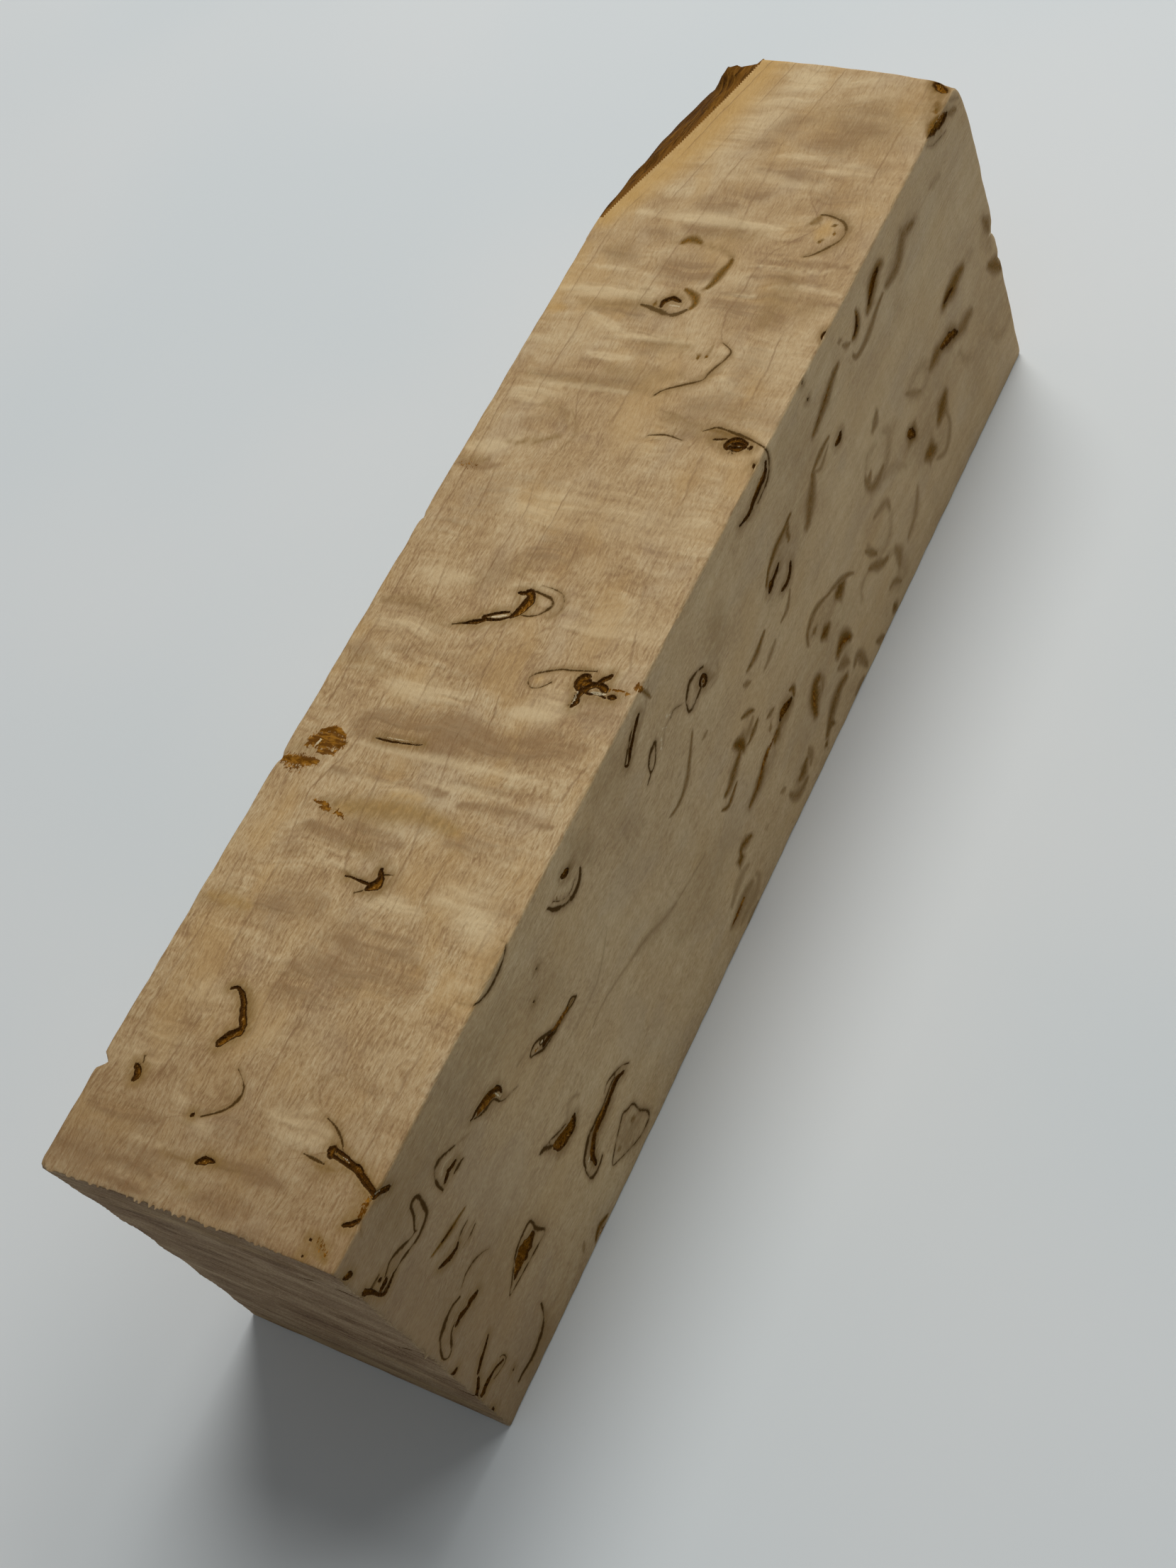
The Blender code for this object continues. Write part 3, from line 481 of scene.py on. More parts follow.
    glow(0.8, 0.85, (43.4, 11), (43.2, 3), (43.2, -5.6)),
    glow(1, 0.5, (49, 3.6), (49.4, 0), (49, -4.6)),
    glow(1.2, 0.6, (51.2, -7), (51.4, -11.6)),
    glow(0.6, 0.6, (52.6, -0.6), (52.8, -5.2)),
    glow(3, 0.55, (52, 6.4), (58, 3.4), (64, 0)),
    glow(1.8, 0.35, (62.8, -4), (62.6, -9.6)),
    # Yellow sapwood below the bark
    ("gold", (2.5, 2.5, 1.4), 0.8, ((70, 4.6), (66, 5.8), (58, 7.8), (50, 10.6), (42, 14.2))),
    gold(1.6, 0.35, (38, 14.4), (30, 14.6)),
    glow(1, 0.5, (66, 1.2), (58, 3), (50, 7.2)),
]

# Marks on the right side: each point is X and Z
RIGHT_MARKS = [
    # Foot of the ridge slit and dots near the near edge
    bark((0.18, 0.22, 0.16), (-58.2, 39.9), (-57.6, 39.5), (-57.2, 39), (-56.8, 38.6)),
    pale(0.08, 0.8, (-58, 39.8), (-57.4, 39.3)),
    bark((0.16, 0.26, 0.16), (-64.5, 38.3), (-64.1, 37.9), (-63.9, 37.6)),
    line(0.12, 0.6, (-60.4, 40), (-60.9, 39.4), (-61.2, 38.8)),
    # Long curl at the near edge
    bark((0.25, 0.18, 0.1), (-64.3, 34.6), (-64, 34), (-63.8, 33.4), (-63.7, 32.6)),
    bark((0.1, 0.1, 0.06), (-63.7, 32.6), (-63.4, 31.8), (-63, 31.55), (-61.6, 31.8)),
    line(0.14, 0.9, (-64, 34), (-63.4, 33.9), (-62.5, 33.8)),
    line(0.14, 0.95, (-63.4, 31.9), (-62.6, 31.8), (-61.6, 31.8)),
    bark((0.12, 0.18, 0.12), (-62.8, 33.35), (-62.6, 33.25)),
    bark((0.14, 0.24, 0.14), (-63.2, 32.5), (-62.8, 32.4), (-62.3, 32.5)),
    line(0.13, 0.9, (-62.3, 32.8), (-61, 33.2), (-59.6, 32.6), (-58.5, 31.9), (-57.9, 31.8)),
    line(0.14, 0.95, (-61.6, 31.8), (-60.2, 31.6), (-59, 31.2), (-57.8, 30.9), (-56.4, 31.3), (-56, 31.9),
         (-55.7, 33.6), (-55.8, 34.2), (-56.2, 34.4), (-56.7, 34.2), (-57.1, 33.1), (-57.9, 32)),
    haze(0.5, 0.35, (-57.9, 31.8), (-56.8, 32.4), (-56.4, 33.6)),
    haze(0.7, 0.4, (-63.6, 33.6), (-62.4, 32.9), (-60.4, 32.5)),
    # Arch
    line(0.16, 0.9, (-53.8, 30.8), (-53.8, 31.9), (-53.6, 32.8), (-53.2, 33.4), (-52.6, 33.6), (-52, 33.5),
         (-51.2, 32.95), (-50.4, 32.4)),
    bark((0.12, 0.2, 0.12), (-53.2, 31.1), (-52.7, 31.3), (-52.3, 31.5)),
    bark((0.12, 0.18, 0.1), (-52.3, 31.5), (-51.8, 31.3), (-51.2, 31.2)),
    line(0.14, 0.9, (-52.1, 30.4), (-51, 30.3), (-50.6, 30.2)),
    line(0.08, 0.6, (-50, 32.2), (-48.8, 31.3)),
    pale(0.3, 0.4, (-53, 32.2), (-52.2, 32.6), (-51.4, 32.2)),
    haze(0.5, 0.4, (-52.8, 31.2), (-51, 30.8)),
    # Lens with a tail
    bark((0.06, 0.14, 0.2), (-47.9, 31.9), (-47, 31.9), (-46, 31.7), (-45.2, 31.3)),
    bark((0.2, 0.2, 0.08), (-45.2, 31.3), (-44.6, 30.9), (-44.2, 30.5), (-44, 30), (-44.1, 29.5)),
    line(0.13, 0.9, (-47.6, 31.6), (-47.1, 31.1), (-46.4, 30.7), (-45.2, 30.3), (-44.9, 29.7),
         (-44.8, 29.2)),
    line(0.08, 0.7, (-46.8, 31.3), (-45.8, 31.1), (-45, 30.7)),
    line(0.1, 0.75, (-44.8, 29.2), (-44.4, 28.6), (-43.2, 27.9), (-42.7, 27.6)),
    rust(0.4, 0.95, (-47, 31.5), (-45.6, 31), (-44.8, 30.4)),
    stain(0.34, 0.6, (-46.8, 31.4), (-45.6, 31), (-44.6, 30.2)),
    pale(0.14, 0.9, (-44.6, 30.4), (-44.5, 29.5)),
    line(0.08, 0.6, (-41.4, 29.2), (-39.7, 28.9)),
    haze(0.6, 0.35, (-46.6, 30.6), (-44.2, 28.8)),
    # Long eye
    line(0.13, 0.9, (-39.9, 27.7), (-39.8, 28), (-39.4, 28.2), (-38.8, 28.2), (-38.2, 27.9), (-37.2, 27),
         (-36, 26.1), (-34.5, 26), (-33.2, 26.1), (-32.6, 25.4)),
    line(0.13, 0.9, (-39.9, 27.7), (-39.4, 27.3), (-38.9, 26.8), (-38.2, 26.3), (-36.6, 26), (-35, 25.75),
         (-33.2, 25.4), (-32.6, 25.4)),
    line(0.08, 0.9, (-38.4, 27.5), (-38.1, 27.6), (-37.8, 27.3), (-38, 27), (-38.4, 27.2), (-38.4, 27.5)),
    pale(0.14, 0.8, (-38.2, 27.3), (-38, 27.3)),
    bark((0.14, 0.2, 0.12), (-38.2, 26.7), (-37.5, 26.6), (-36.8, 26.2)),
    stain(0.2, 0.7, (-37, 26.5), (-35, 25.9), (-33, 25.7)),
    rust(0.3, 0.8, (-36.6, 26.4), (-34, 25.8)),
    rust(0.25, 0.5, (-39.4, 27.7), (-38.9, 27.5)),
    haze(0.5, 0.4, (-37, 26.5), (-34, 25.8)),
    # Speckled streak, black lens and a thin pair
    stain(0.16, 0.8, (-58.4, 27.5), (-56.2, 26.8), (-54.3, 26.4), (-53.5, 26.2)),
    bark((0.05, 0.1, 0.06), (-57, 27.05), (-56.2, 26.8), (-55.4, 26.6)),
    bark((0.08, 0.2, 0.22), (-58.7, 25.5), (-58.2, 25.15), (-57.8, 24.9), (-57.3, 24.6)),
    bark((0.22, 0.18, 0.08), (-57.3, 24.6), (-56.8, 24.45), (-56.3, 24.4), (-56, 24.6)),
    line(0.12, 0.8, (-56, 24.6), (-55, 24.9), (-54, 24.8)),
    line(0.12, 0.8, (-56, 23.4), (-54.8, 23.2), (-53.8, 23.3)),
    line(0.1, 0.6, (-55.8, 23.8), (-54.6, 23.9), (-53.6, 23.7)),
    haze(0.6, 0.4, (-58.6, 25), (-56, 24.3)),
    # Arch with a black bar
    line(0.16, 0.95, (-64.1, 17.9), (-63.8, 18.6), (-63.4, 19.2), (-62.9, 19.8), (-61.4, 20.35),
         (-60.2, 20.4), (-59.2, 20)),
    line(0.13, 0.9, (-64.1, 17.6), (-63.9, 17.1), (-63.5, 16.9), (-63, 17.1), (-62.2, 18.2), (-61.7, 18.6),
         (-61.1, 18.7)),
    bark((0.16, 0.22, 0.18), (-61.2, 18.3), (-60.5, 18.4), (-59.9, 18.15), (-59.3, 17.9)),
    bark((0.2, 0.24, 0.14), (-59.3, 17.9), (-58.8, 17.9), (-58.2, 17.7), (-57.8, 17.5)),
    line(0.13, 0.8, (-58.5, 20.5), (-57.3, 20.85), (-55.9, 20.5), (-54.8, 19.6), (-54.4, 19.1)),
    haze(0.7, 0.4, (-62.8, 18.6), (-60.8, 19.4), (-58.8, 18.6)),
    pale(0.4, 0.35, (-62.6, 19), (-61, 19.4)),
    bark((0.1, 0.2, 0.1), (-64.6, 15.1), (-64.3, 14.8), (-63.9, 14.7)),
    # Lower bars
    bark((0.07, 0.17, 0.14), (-59.9, 12.2), (-61.1, 11.6), (-61.9, 11.3), (-63, 10.7)),
    bark((0.12, 0.2, 0.14), (-63.3, 10.2), (-64.2, 9.3), (-64.6, 9.1), (-64.7, 8.7)),
    bark((0.2, 0.2, 0.16), (-64.1, 8), (-63.5, 8.2), (-62.8, 8.2), (-62.1, 8.1)),
    bark((0.16, 0.12, 0.08), (-62.1, 8.1), (-61.5, 7.9), (-60.6, 7.3)),
    line(0.1, 0.8, (-60.6, 8.1), (-60.3, 7.8), (-60.2, 7.2), (-60.5, 6.8), (-61.4, 6.9), (-62.4, 7.3)),
    haze(0.5, 0.4, (-63.6, 7.7), (-61, 7.6)),
    bark((0.14, 0.25, 0.14), (-64.7, 4.8), (-64.5, 5)),
    line(0.12, 0.5, (-64.7, 3.5), (-63.4, 4.4)),
    line(0.17, 0.95, (-61, 2.5), (-60.2, 2.5), (-58.4, 2.15), (-56.2, 2.7), (-55, 3.8), (-54.4, 5.3)),
    haze(0.8, 0.4, (-60, 1.6), (-56.6, 2), (-54.6, 3.6)),
    bark((0.06, 0.1, 0.06), (-60.7, 4.55), (-60.5, 4.55)),
    # Almond with a brown core
    line(0.13, 0.88, (-56, 11.7), (-54.6, 11.45), (-53.5, 11.3), (-50.5, 10.95), (-49.6, 10.9),
         (-49.4, 11.3), (-49.9, 12.8), (-49.8, 14.1), (-50.2, 14.65), (-52, 14.55), (-53, 14.2),
         (-54, 13.4), (-55, 12.5), (-56, 11.7)),
    bark((0.12, 0.45, 0.72), (-54.6, 12.3), (-53.9, 12.6), (-53.2, 12.85), (-52.6, 13)),
    bark((0.72, 0.72, 0.4), (-52.6, 13), (-52, 13), (-51.4, 12.9), (-50.8, 12.9)),
    rust(0.6, 1, (-53.6, 12.5), (-52.4, 12.8), (-51.3, 12.8)),
    haze(0.7, 0.3, (-54, 11.9), (-50.4, 11.6)),
    # Wedge
    line(0.2, 0.95, (-45, 18.45), (-44.3, 18.1), (-43.9, 17.5), (-43.5, 16.9)),
    bark((0.3, 0.74, 0.74), (-43.3, 16.5), (-42.9, 16.1), (-42.4, 15.75), (-41.9, 15.65)),
    bark((0.72, 0.62, 0.3), (-41.9, 15.65), (-41.3, 15.5), (-40.7, 15.5), (-40.1, 15.8)),
    rust(0.6, 0.9, (-43, 16.1), (-42.2, 15.9), (-41, 15.5)),
    line(0.13, 0.8, (-43.4, 17.9), (-42.4, 17.2), (-41.2, 16.6)),
    line(0.15, 0.6, (-40.9, 16.5), (-40.6, 17), (-40, 17.6), (-39.3, 17.7), (-38.7, 17.4), (-38.3, 16.8)),
    line(0.08, 0.5, (-47.4, 18), (-46.2, 17.7)),
    haze(0.8, 0.35, (-43.6, 15.2), (-40.4, 14.8)),
    # Long arc with a crumbly core
    line(0.17, 0.95, (-42.3, 9.2), (-42.1, 9.9), (-41.6, 10.4), (-40.3, 11.3), (-39.5, 11.5), (-37.2, 11.5),
         (-35, 12), (-34.2, 11.9)),
    bark((0.14, 0.3, 0.2), (-41.2, 7.6), (-41.1, 8.4), (-40.9, 9.2), (-40.4, 9.8), (-39.8, 10.3),
         (-39.2, 10.7)),
    bark((0.2, 0.26, 0.16), (-39.2, 10.7), (-38.3, 10.7), (-37.5, 10.7), (-36.5, 10.9)),
    bark((0.18, 0.3, 0.12), (-36.5, 10.9), (-35.5, 11.2), (-34.8, 11.4), (-34.1, 11.4), (-33, 10.8)),
    rust(0.4, 0.9, (-40.8, 9), (-40.2, 10), (-38.8, 10.8), (-35.6, 11.2)),
    stain(0.32, 0.7, (-41.3, 8), (-40.6, 9.6), (-39.2, 10.8), (-37.5, 10.9), (-35.5, 11.3), (-34.1, 11.3)),
    line(0.13, 0.8, (-36, 12.5), (-35, 12.8), (-33, 11.8), (-32.1, 10.7)),
    line(0.15, 0.88, (-42.5, 9), (-42.6, 8), (-42.6, 7.4), (-42.3, 7), (-41.6, 6.8), (-40.8, 6.9),
         (-40.2, 7.2)),
    pale(0.2, 0.8, (-41.6, 9.3), (-41.2, 9.4)),
    haze(0.9, 0.4, (-41.6, 8), (-39.4, 9.8), (-36, 10.2)),
    # Closed outline near the foot
    line(0.14, 0.8, (-39.9, 4.4), (-38.5, 5.6), (-36.6, 6.7), (-35.7, 7.1), (-35.1, 6.6), (-34.4, 6.3),
         (-34.1, 5.7), (-34, 4.2), (-33.4, 2.8), (-33.4, 2.1), (-33.8, 1.6), (-35.5, 1.6), (-37.4, 2.5),
         (-39.2, 3.7), (-39.9, 4.4)),
    stain(0.3, 0.6, (-35.4, 4.9), (-35, 4.5)),
    stain(0.24, 0.5, (-38.5, 4.7), (-38.1, 4.5)),
    shade(1.6, 0.35, (-37.4, 4.6), (-35.4, 4)),
    haze(1.5, 0.4, (-38, 4.6), (-34.8, 3.8)),
    stain(0.16, 0.5, (-47.9, 1.9), (-47.2, 2.9)),
    stain(0.22, 0.8, (-46.2, 0.6), (-45.6, 1), (-44.9, 1.15), (-43.6, 0.7)),
    rust(0.3, 0.5, (-45.6, 0.4), (-44.4, 0.4)),
    # Faint thin lines in the plain middle
    line(0.1, 0.6, (-33, 20.2), (-31.6, 20.4), (-29, 20.2), (-26, 19.4), (-22.6, 18.4), (-19.4, 16.8),
         (-16, 16), (-12, 15.4)),
    line(0.08, 0.5, (-36.4, 23.2), (-33, 23), (-30, 23.2), (-28, 24.4), (-26, 26)),
    haze(1, 0.3, (-20, 12.6), (-15, 11), (-9, 12.4)),
    haze(0.8, 0.25, (-24, 18.8), (-18, 16)),
    # Arc on the side under the right ridge
    line(0.13, 0.85, (-41.1, 40), (-40.8, 39.7), (-40.4, 39.4), (-39.7, 39.1), (-38.9, 38.95), (-38, 38.95),
         (-37.2, 39.05), (-36.3, 39.3), (-35.4, 39.9)),
    # Nested arcs round a black dot
    line(0.16, 1, (-30, 36.6), (-29.7, 35.8), (-29.2, 35.2), (-28.5, 34.5), (-27.8, 34.1), (-27.1, 33.85),
         (-26.3, 33.95), (-25.6, 34.3), (-25, 35)),
    line(0.1, 0.75, (-29.2, 36.4), (-28.4, 35.2), (-27.2, 34.6), (-26.2, 34.9)),
    bark((0.16, 0.3, 0.16), (-27.1, 37.05), (-26.8, 36.8), (-26.2, 36.6)),
    stain(0.1, 0.8, (-28.8, 36.1), (-28.7, 36.1)),
    haze(0.8, 0.45, (-25.6, 36.6), (-24.2, 36.2)),
    # Worm below the ridge
    bark((0.1, 0.16, 0.16), (-15.2, 36), (-14.8, 35.8), (-13.8, 36.6), (-12.7, 37.3)),
    bark((0.14, 0.2, 0.14), (-12.7, 37.3), (-12, 37.7), (-11.4, 38), (-11.1, 38.1)),
    line(0.12, 0.9, (-15.2, 36.2), (-14.2, 36.9), (-13.2, 37.6), (-12.6, 37.9)),
    line(0.08, 0.5, (-15.8, 35.4), (-14.3, 35.5), (-12.5, 36.6), (-10, 37.7), (-8.3, 39.3)),
    rust(0.4, 0.8, (-9.8, 40), (-9.4, 39.5)),
    stain(0.14, 0.7, (-9.6, 39.6), (-9.2, 38.6), (-9, 37.6)),
    # Leaf and pale crumbs
    line(0.13, 0.9, (-14, 31.1), (-13.6, 31.3), (-13.1, 31.5), (-12.8, 32.6), (-11.9, 33.3), (-10.9, 33.5),
         (-11, 33.1), (-11.3, 32.6), (-12.1, 31.7), (-12.8, 31.5)),
    pale(0.14, 0.7, (-10.5, 32), (-10.1, 32.5)),
    pale(0.12, 0.7, (-9.4, 33.4), (-8.9, 32.8)),
    pale(0.14, 0.7, (-8.2, 33.6), (-7.7, 33.2)),
    line(0.08, 0.6, (-10.3, 31.9), (-9.2, 32.9), (-8, 33.1)),
    line(0.12, 0.7, (-8, 32.9), (-7.2, 33.1), (-6.1, 32.3)),
    # Small eye
    line(0.15, 0.9, (-5.5, 31.2), (-5.4, 31.7), (-4.5, 32.5), (-3.9, 32.75), (-2.6, 32.5), (-1.6, 31.9)),
    line(0.15, 0.9, (-5.6, 31), (-5.6, 30.5), (-5.2, 30.2), (-4.6, 30.15), (-2.9, 30.5)),
    bark((0.12, 0.18, 0.14), (-2.9, 30.7), (-2.8, 31.1), (-2.2, 31.3), (-1.9, 31)),
    bark((0.14, 0.18, 0.1), (-1.9, 31), (-1.85, 30.5), (-2.2, 30.1), (-2.6, 30.3)),
    rust(0.2, 0.9, (-2.5, 30.8), (-2.3, 30.6)),
    line(0.13, 0.5, (-1.7, 29.8), (-1.2, 29.6), (-0.6, 29.3)),
    line(0.13, 0.5, (-1.8, 28.9), (-0.5, 28.8), (0.2, 29.8)),
    haze(0.8, 0.45, (-3.4, 31.4), (-2, 30.6), (-1, 29.6)),
    # Long streaks in the middle of the side
    stain(0.2, 0.65, (-13.4, 24.8), (-12.3, 24.5), (-10.9, 24.6), (-9.4, 25.3), (-8.2, 26.4), (-6.4, 28.2)),
    stain(0.14, 0.5, (-5.6, 25.9), (-4.5, 25.8)),
    stain(0.2, 0.75, (0.2, 20.9), (0.9, 20.5), (1.6, 20), (2.1, 19.5)),
    stain(0.2, 0.6, (2.2, 23.5), (3.2, 22.6)),
    stain(0.24, 0.75, (3.5, 24.1), (5.5, 24), (7.3, 24.5), (7.8, 24.6)),
    stain(0.22, 0.5, (5.8, 21.2), (7.6, 21.5), (8.8, 21.9)),
    stain(0.16, 0.6, (-2.6, 19.9), (-1.5, 19.9)),
    stain(0.5, 0.85, (-2, 19.6), (-1.3, 18.6), (-1.2, 17.8)),
    stain(0.3, 0.5, (-1.2, 18.4), (0.4, 18.6), (1.6, 19)),
    rust(0.3, 0.5, (-1.7, 19.1), (-1.3, 18.3)),
    stain(0.36, 0.75, (-1.6, 18.2), (-3.3, 17.6), (-5.2, 16.9), (-6.2, 16.9)),
    stain(0.18, 0.75, (-7.3, 16.1), (-6.2, 15.4), (-4, 16)),
    stain(0.22, 0.75, (-0.2, 17.4), (1.4, 17.7), (2.2, 17.9)),
    stain(0.2, 0.65, (3.4, 16.3), (4.8, 15.9)),
    stain(0.2, 0.6, (3, 14.5), (3.5, 15)),
    bark((0.16, 0.36, 0.44), (5, 13.6), (5.6, 13.9), (6.2, 13.8)),
    bark((0.42, 0.36, 0.2), (6.2, 13.8), (6.9, 13.6), (7.6, 13.4)),
    rust(0.4, 0.8, (5.2, 13.7), (7.2, 13.5)),
    stain(0.22, 0.8, (7.9, 14.6), (8.5, 14.1), (8.2, 13.2)),
    stain(0.4, 0.75, (4.4, 13.1), (3, 12.6)),
    stain(0.36, 0.75, (1.6, 13.2), (0.4, 12.7), (-0.5, 12.1), (-1.8, 11.6), (-3.8, 11.3)),
    rust(0.3, 0.7, (4, 13.2), (0.8, 12.9), (-1.8, 11.5)),
    haze(1, 0.45, (7.4, 13), (4, 12.4), (0, 11.8), (-4, 11.4)),
    stain(0.5, 0.6, (4.6, 13.2), (5.8, 13.4), (7.4, 13.2)),
    stain(0.5, 0.9, (-8.2, 8.2), (-7.8, 7.8)),
    stain(0.36, 0.75, (-7.7, 8.6), (-7.2, 9), (-6.1, 8.6), (-5.3, 8.2)),
    stain(0.34, 0.42, (-11.9, 5.3), (-10, 6.2), (-8.2, 6.3), (-7.4, 6)),
    rust(0.3, 0.8, (-12.8, 3.4), (-12, 3.4), (-11.2, 3.5), (-10, 3.7)),
    stain(0.4, 0.5, (-13.2, 3.3), (-11.6, 3.5), (-9.4, 3.9), (-8, 3.6)),
    haze(0.8, 0.4, (-12.6, 3), (-8.4, 3)),
    stain(0.34, 0.38, (-11.9, 1.7), (-9.5, 1.8), (-8, 1.9), (-6.8, 2.7), (-7, 3.6)),
    stain(0.24, 0.4, (-11, 0.4), (-8.5, 0.4)),
    stain(0.3, 0.3, (-3.2, 6.1), (-2.6, 5.9)),
    stain(0.24, 0.5, (1, 6.4), (1.8, 5.9)),
    stain(0.34, 0.6, (2, 4.4), (2.5, 3.2), (3.6, 2.4), (5.4, 2.3)),
    stain(0.3, 0.5, (7.2, 5.2), (7.3, 4), (6.6, 3)),
    haze(1, 0.3, (3, 4), (6.6, 4.2)),
    stain(0.44, 0.75, (4.2, 3.9), (5, 3.8), (6.2, 4.4)),
    stain(0.2, 0.5, (6.9, 4.9), (7, 3.4)),
    stain(0.56, 0.9, (10.2, 6.9), (10.6, 8.2), (11, 9), (11.4, 9.7), (12, 10.2), (12.6, 10)),
    stain(0.3, 0.5, (12.8, 10), (13, 9), (12.4, 8)),
    haze(1.2, 0.4, (10.6, 7.6), (11.8, 9)),
    rust(0.3, 0.7, (10.4, 8), (11.2, 9.6)),
    stain(0.32, 0.75, (9.8, 1.7), (10.1, 1.7)),
    stain(0.3, 0.75, (11.4, 2.5), (11.9, 2.8), (12.3, 2.2)),
    stain(0.46, 0.75, (10.6, 2.4), (12.2, 3.6), (13.8, 4.4), (15.4, 4.7), (16.8, 4.4)),
    # Hook below the ridge
    bark((0.06, 0.14, 0.18), (10.1, 37.6), (10.9, 37.4), (11.6, 37.2), (12.4, 37.2)),
    bark((0.18, 0.24, 0.2), (12.4, 37.2), (13.2, 37.5), (14.7, 37.7), (15.4, 37.7)),
    bark((0.2, 0.22, 0.12), (15.4, 37.7), (16, 37.9), (16.3, 38.4), (16.6, 38.8)),
    rust(0.22, 0.8, (12.8, 37.7), (14.6, 38), (16, 38.3)),
    line(0.14, 0.85, (17.2, 40), (17.35, 39.2), (17.1, 38.3), (16.6, 37.5), (15.6, 36.9), (13.6, 36.6)),
    haze(0.6, 0.4, (11.6, 36.8), (14.8, 37.1)),
    # Group of eyes in the upper middle
    stain(0.22, 0.8, (10.4, 28.2), (11.6, 29.2), (13.6, 29.9), (15.6, 30.1), (16.9, 30.4), (17.4, 30.4)),
    bark((0.2, 0.34, 0.2), (10.6, 27.2), (11.2, 27.5), (11.8, 27.6)),
    bark((0.2, 0.2, 0.1), (11.8, 27.6), (12.5, 27.8), (13.2, 28.1)),
    stain(0.2, 0.7, (16.6, 30.2), (15.9, 29.2), (16, 28.6), (15.6, 28.4)),
    bark((0.12, 0.26, 0.14), (12.3, 25.1), (13, 24.95), (13.8, 25.1), (14.4, 25.5), (14.9, 26.2)),
    stain(0.18, 0.6, (10.4, 22.5), (12, 22.6), (13.4, 23.8)),
    haze(1.2, 0.4, (10.8, 27.6), (14.4, 29), (16.4, 29.4)),
    haze(0.8, 0.3, (12, 25), (14.6, 25.6)),
    stain(0.5, 0.7, (18.9, 26.5), (19.6, 26.8), (21, 28.2), (22.5, 29.8)),
    haze(1, 0.4, (19, 26.4), (22.4, 29.6)),
    stain(0.2, 0.7, (22.4, 30.2), (24, 30.5), (26, 30.6), (26.8, 30.5)),
    stain(0.16, 0.5, (22.8, 30), (24, 29.2), (26, 29.8)),
    bark((0.24, 0.34, 0.24), (27.6, 28.6), (28.2, 28.6), (28.7, 28.8)),
    stain(0.36, 0.75, (24.5, 33.3), (25.8, 33.6), (28, 34.3), (30.2, 35.1), (31.6, 35.3)),
    stain(0.36, 0.6, (25, 33.4), (25.8, 33.5)),
    haze(0.7, 0.3, (25, 33.2), (30.4, 34.8)),
    rust(0.3, 0.4, (25.8, 33.7), (29.2, 34.8)),
    stain(0.2, 0.6, (30.3, 35.6), (30.9, 35.3)),
    # Brush strokes towards the far end
    stain(0.3, 0.9, (35.2, 35), (35.9, 35), (36.5, 35.5), (36.8, 36.1), (36.9, 36.7)),
    bark((0.1, 0.2, 0.1), (35.6, 35), (36.4, 35.5), (36.8, 36.2)),
    stain(0.2, 0.55, (33.2, 36.2), (33.8, 35.5), (34.5, 35.1)),
    stain(0.2, 0.5, (32.6, 37.2), (33.2, 36.9)),
    stain(0.5, 0.8, (38.8, 34.9), (39.6, 35.3), (40.2, 36), (40.8, 36.5), (41.6, 36.9), (42.4, 37.1),
          (43.2, 36.8)),
    bark((0.14, 0.34, 0.16), (39.4, 35.3), (40.4, 36.1), (41.4, 36.7), (42.4, 36.9)),
    rust(0.34, 0.7, (40, 35.8), (42, 36.8)),
    stain(0.26, 0.65, (34.4, 33.5), (34.7, 32.9), (35.8, 32.6), (38, 32.8), (40.5, 33.6), (42, 33.9)),
    stain(0.44, 0.65, (43, 34), (45.2, 33.8), (46.4, 34.3), (47.2, 35), (48.2, 35.6), (50.4, 35)),
    stain(0.4, 0.4, (47.8, 36.6), (48, 35.6)),
    haze(1, 0.4, (43.4, 34), (48, 35.4), (51, 34.8)),
    stain(0.22, 0.45, (41.2, 20.4), (43, 18.6), (43.9, 17.8)),
    haze(0.5, 0.45, (41.4, 20), (42.6, 18.4), (44.4, 17.4), (46, 18.4), (45.6, 20), (43.4, 20.4),
         (41.6, 20)),
    stain(0.5, 0.75, (46.8, 18.1), (48.2, 18.2), (50.2, 18)),
    bark((0.24, 0.42, 0.4), (50, 17.8), (50.8, 17.6), (51.6, 17.4)),
    bark((0.4, 0.34, 0.16), (51.6, 17.4), (52.3, 17), (53, 16.6), (53.6, 16.1)),
    stain(0.5, 0.65, (53.4, 16), (55, 15.6), (56.4, 15.6), (57.2, 15.3)),
    haze(1.1, 0.5, (46.8, 18), (51, 17.6), (54, 16.2), (57.2, 15.4)),
    stain(0.6, 0.7, (50, 17.8), (51.6, 17.3), (53.4, 16.2)),
    stain(0.56, 0.85, (52.2, 21.5), (53.4, 21.8), (54.6, 21.6), (56, 21.8), (57.5, 21.6)),
    haze(0.9, 0.4, (51.6, 21.6), (55, 21.6), (60, 21.4)),
    bark((0.14, 0.2, 0.1), (52.6, 21.6), (53.8, 21.6), (54.8, 21.4)),
    bark((0.3, 0.42, 0.26), (39.9, 15.9), (40.4, 15.2), (40.7, 14.6)),
    stain(0.7, 0.8, (39.9, 15.8), (40.6, 14.7)),
    haze(2.2, 0.35, (39, 14.6), (42, 12.6), (45, 12.6)),
    stain(0.34, 0.65, (30.2, 20), (30.4, 19.2), (31.4, 19.6)),
    stain(0.32, 0.6, (30.2, 18.8), (31, 17.9), (32.4, 17.6), (33.8, 17.8)),
    haze(0.5, 0.5, (30, 18.6), (31, 17.4), (33.6, 17.2), (35.6, 18.6), (36.4, 20.2), (35.2, 21.4)),
    haze(0.4, 0.4, (30.4, 20.4), (31.6, 21.6), (33.6, 21.4)),
    stain(0.4, 0.6, (33.8, 23.2), (34.6, 23.5), (35.4, 24.2)),
    haze(0.6, 0.3, (36, 20), (38, 19.6)),
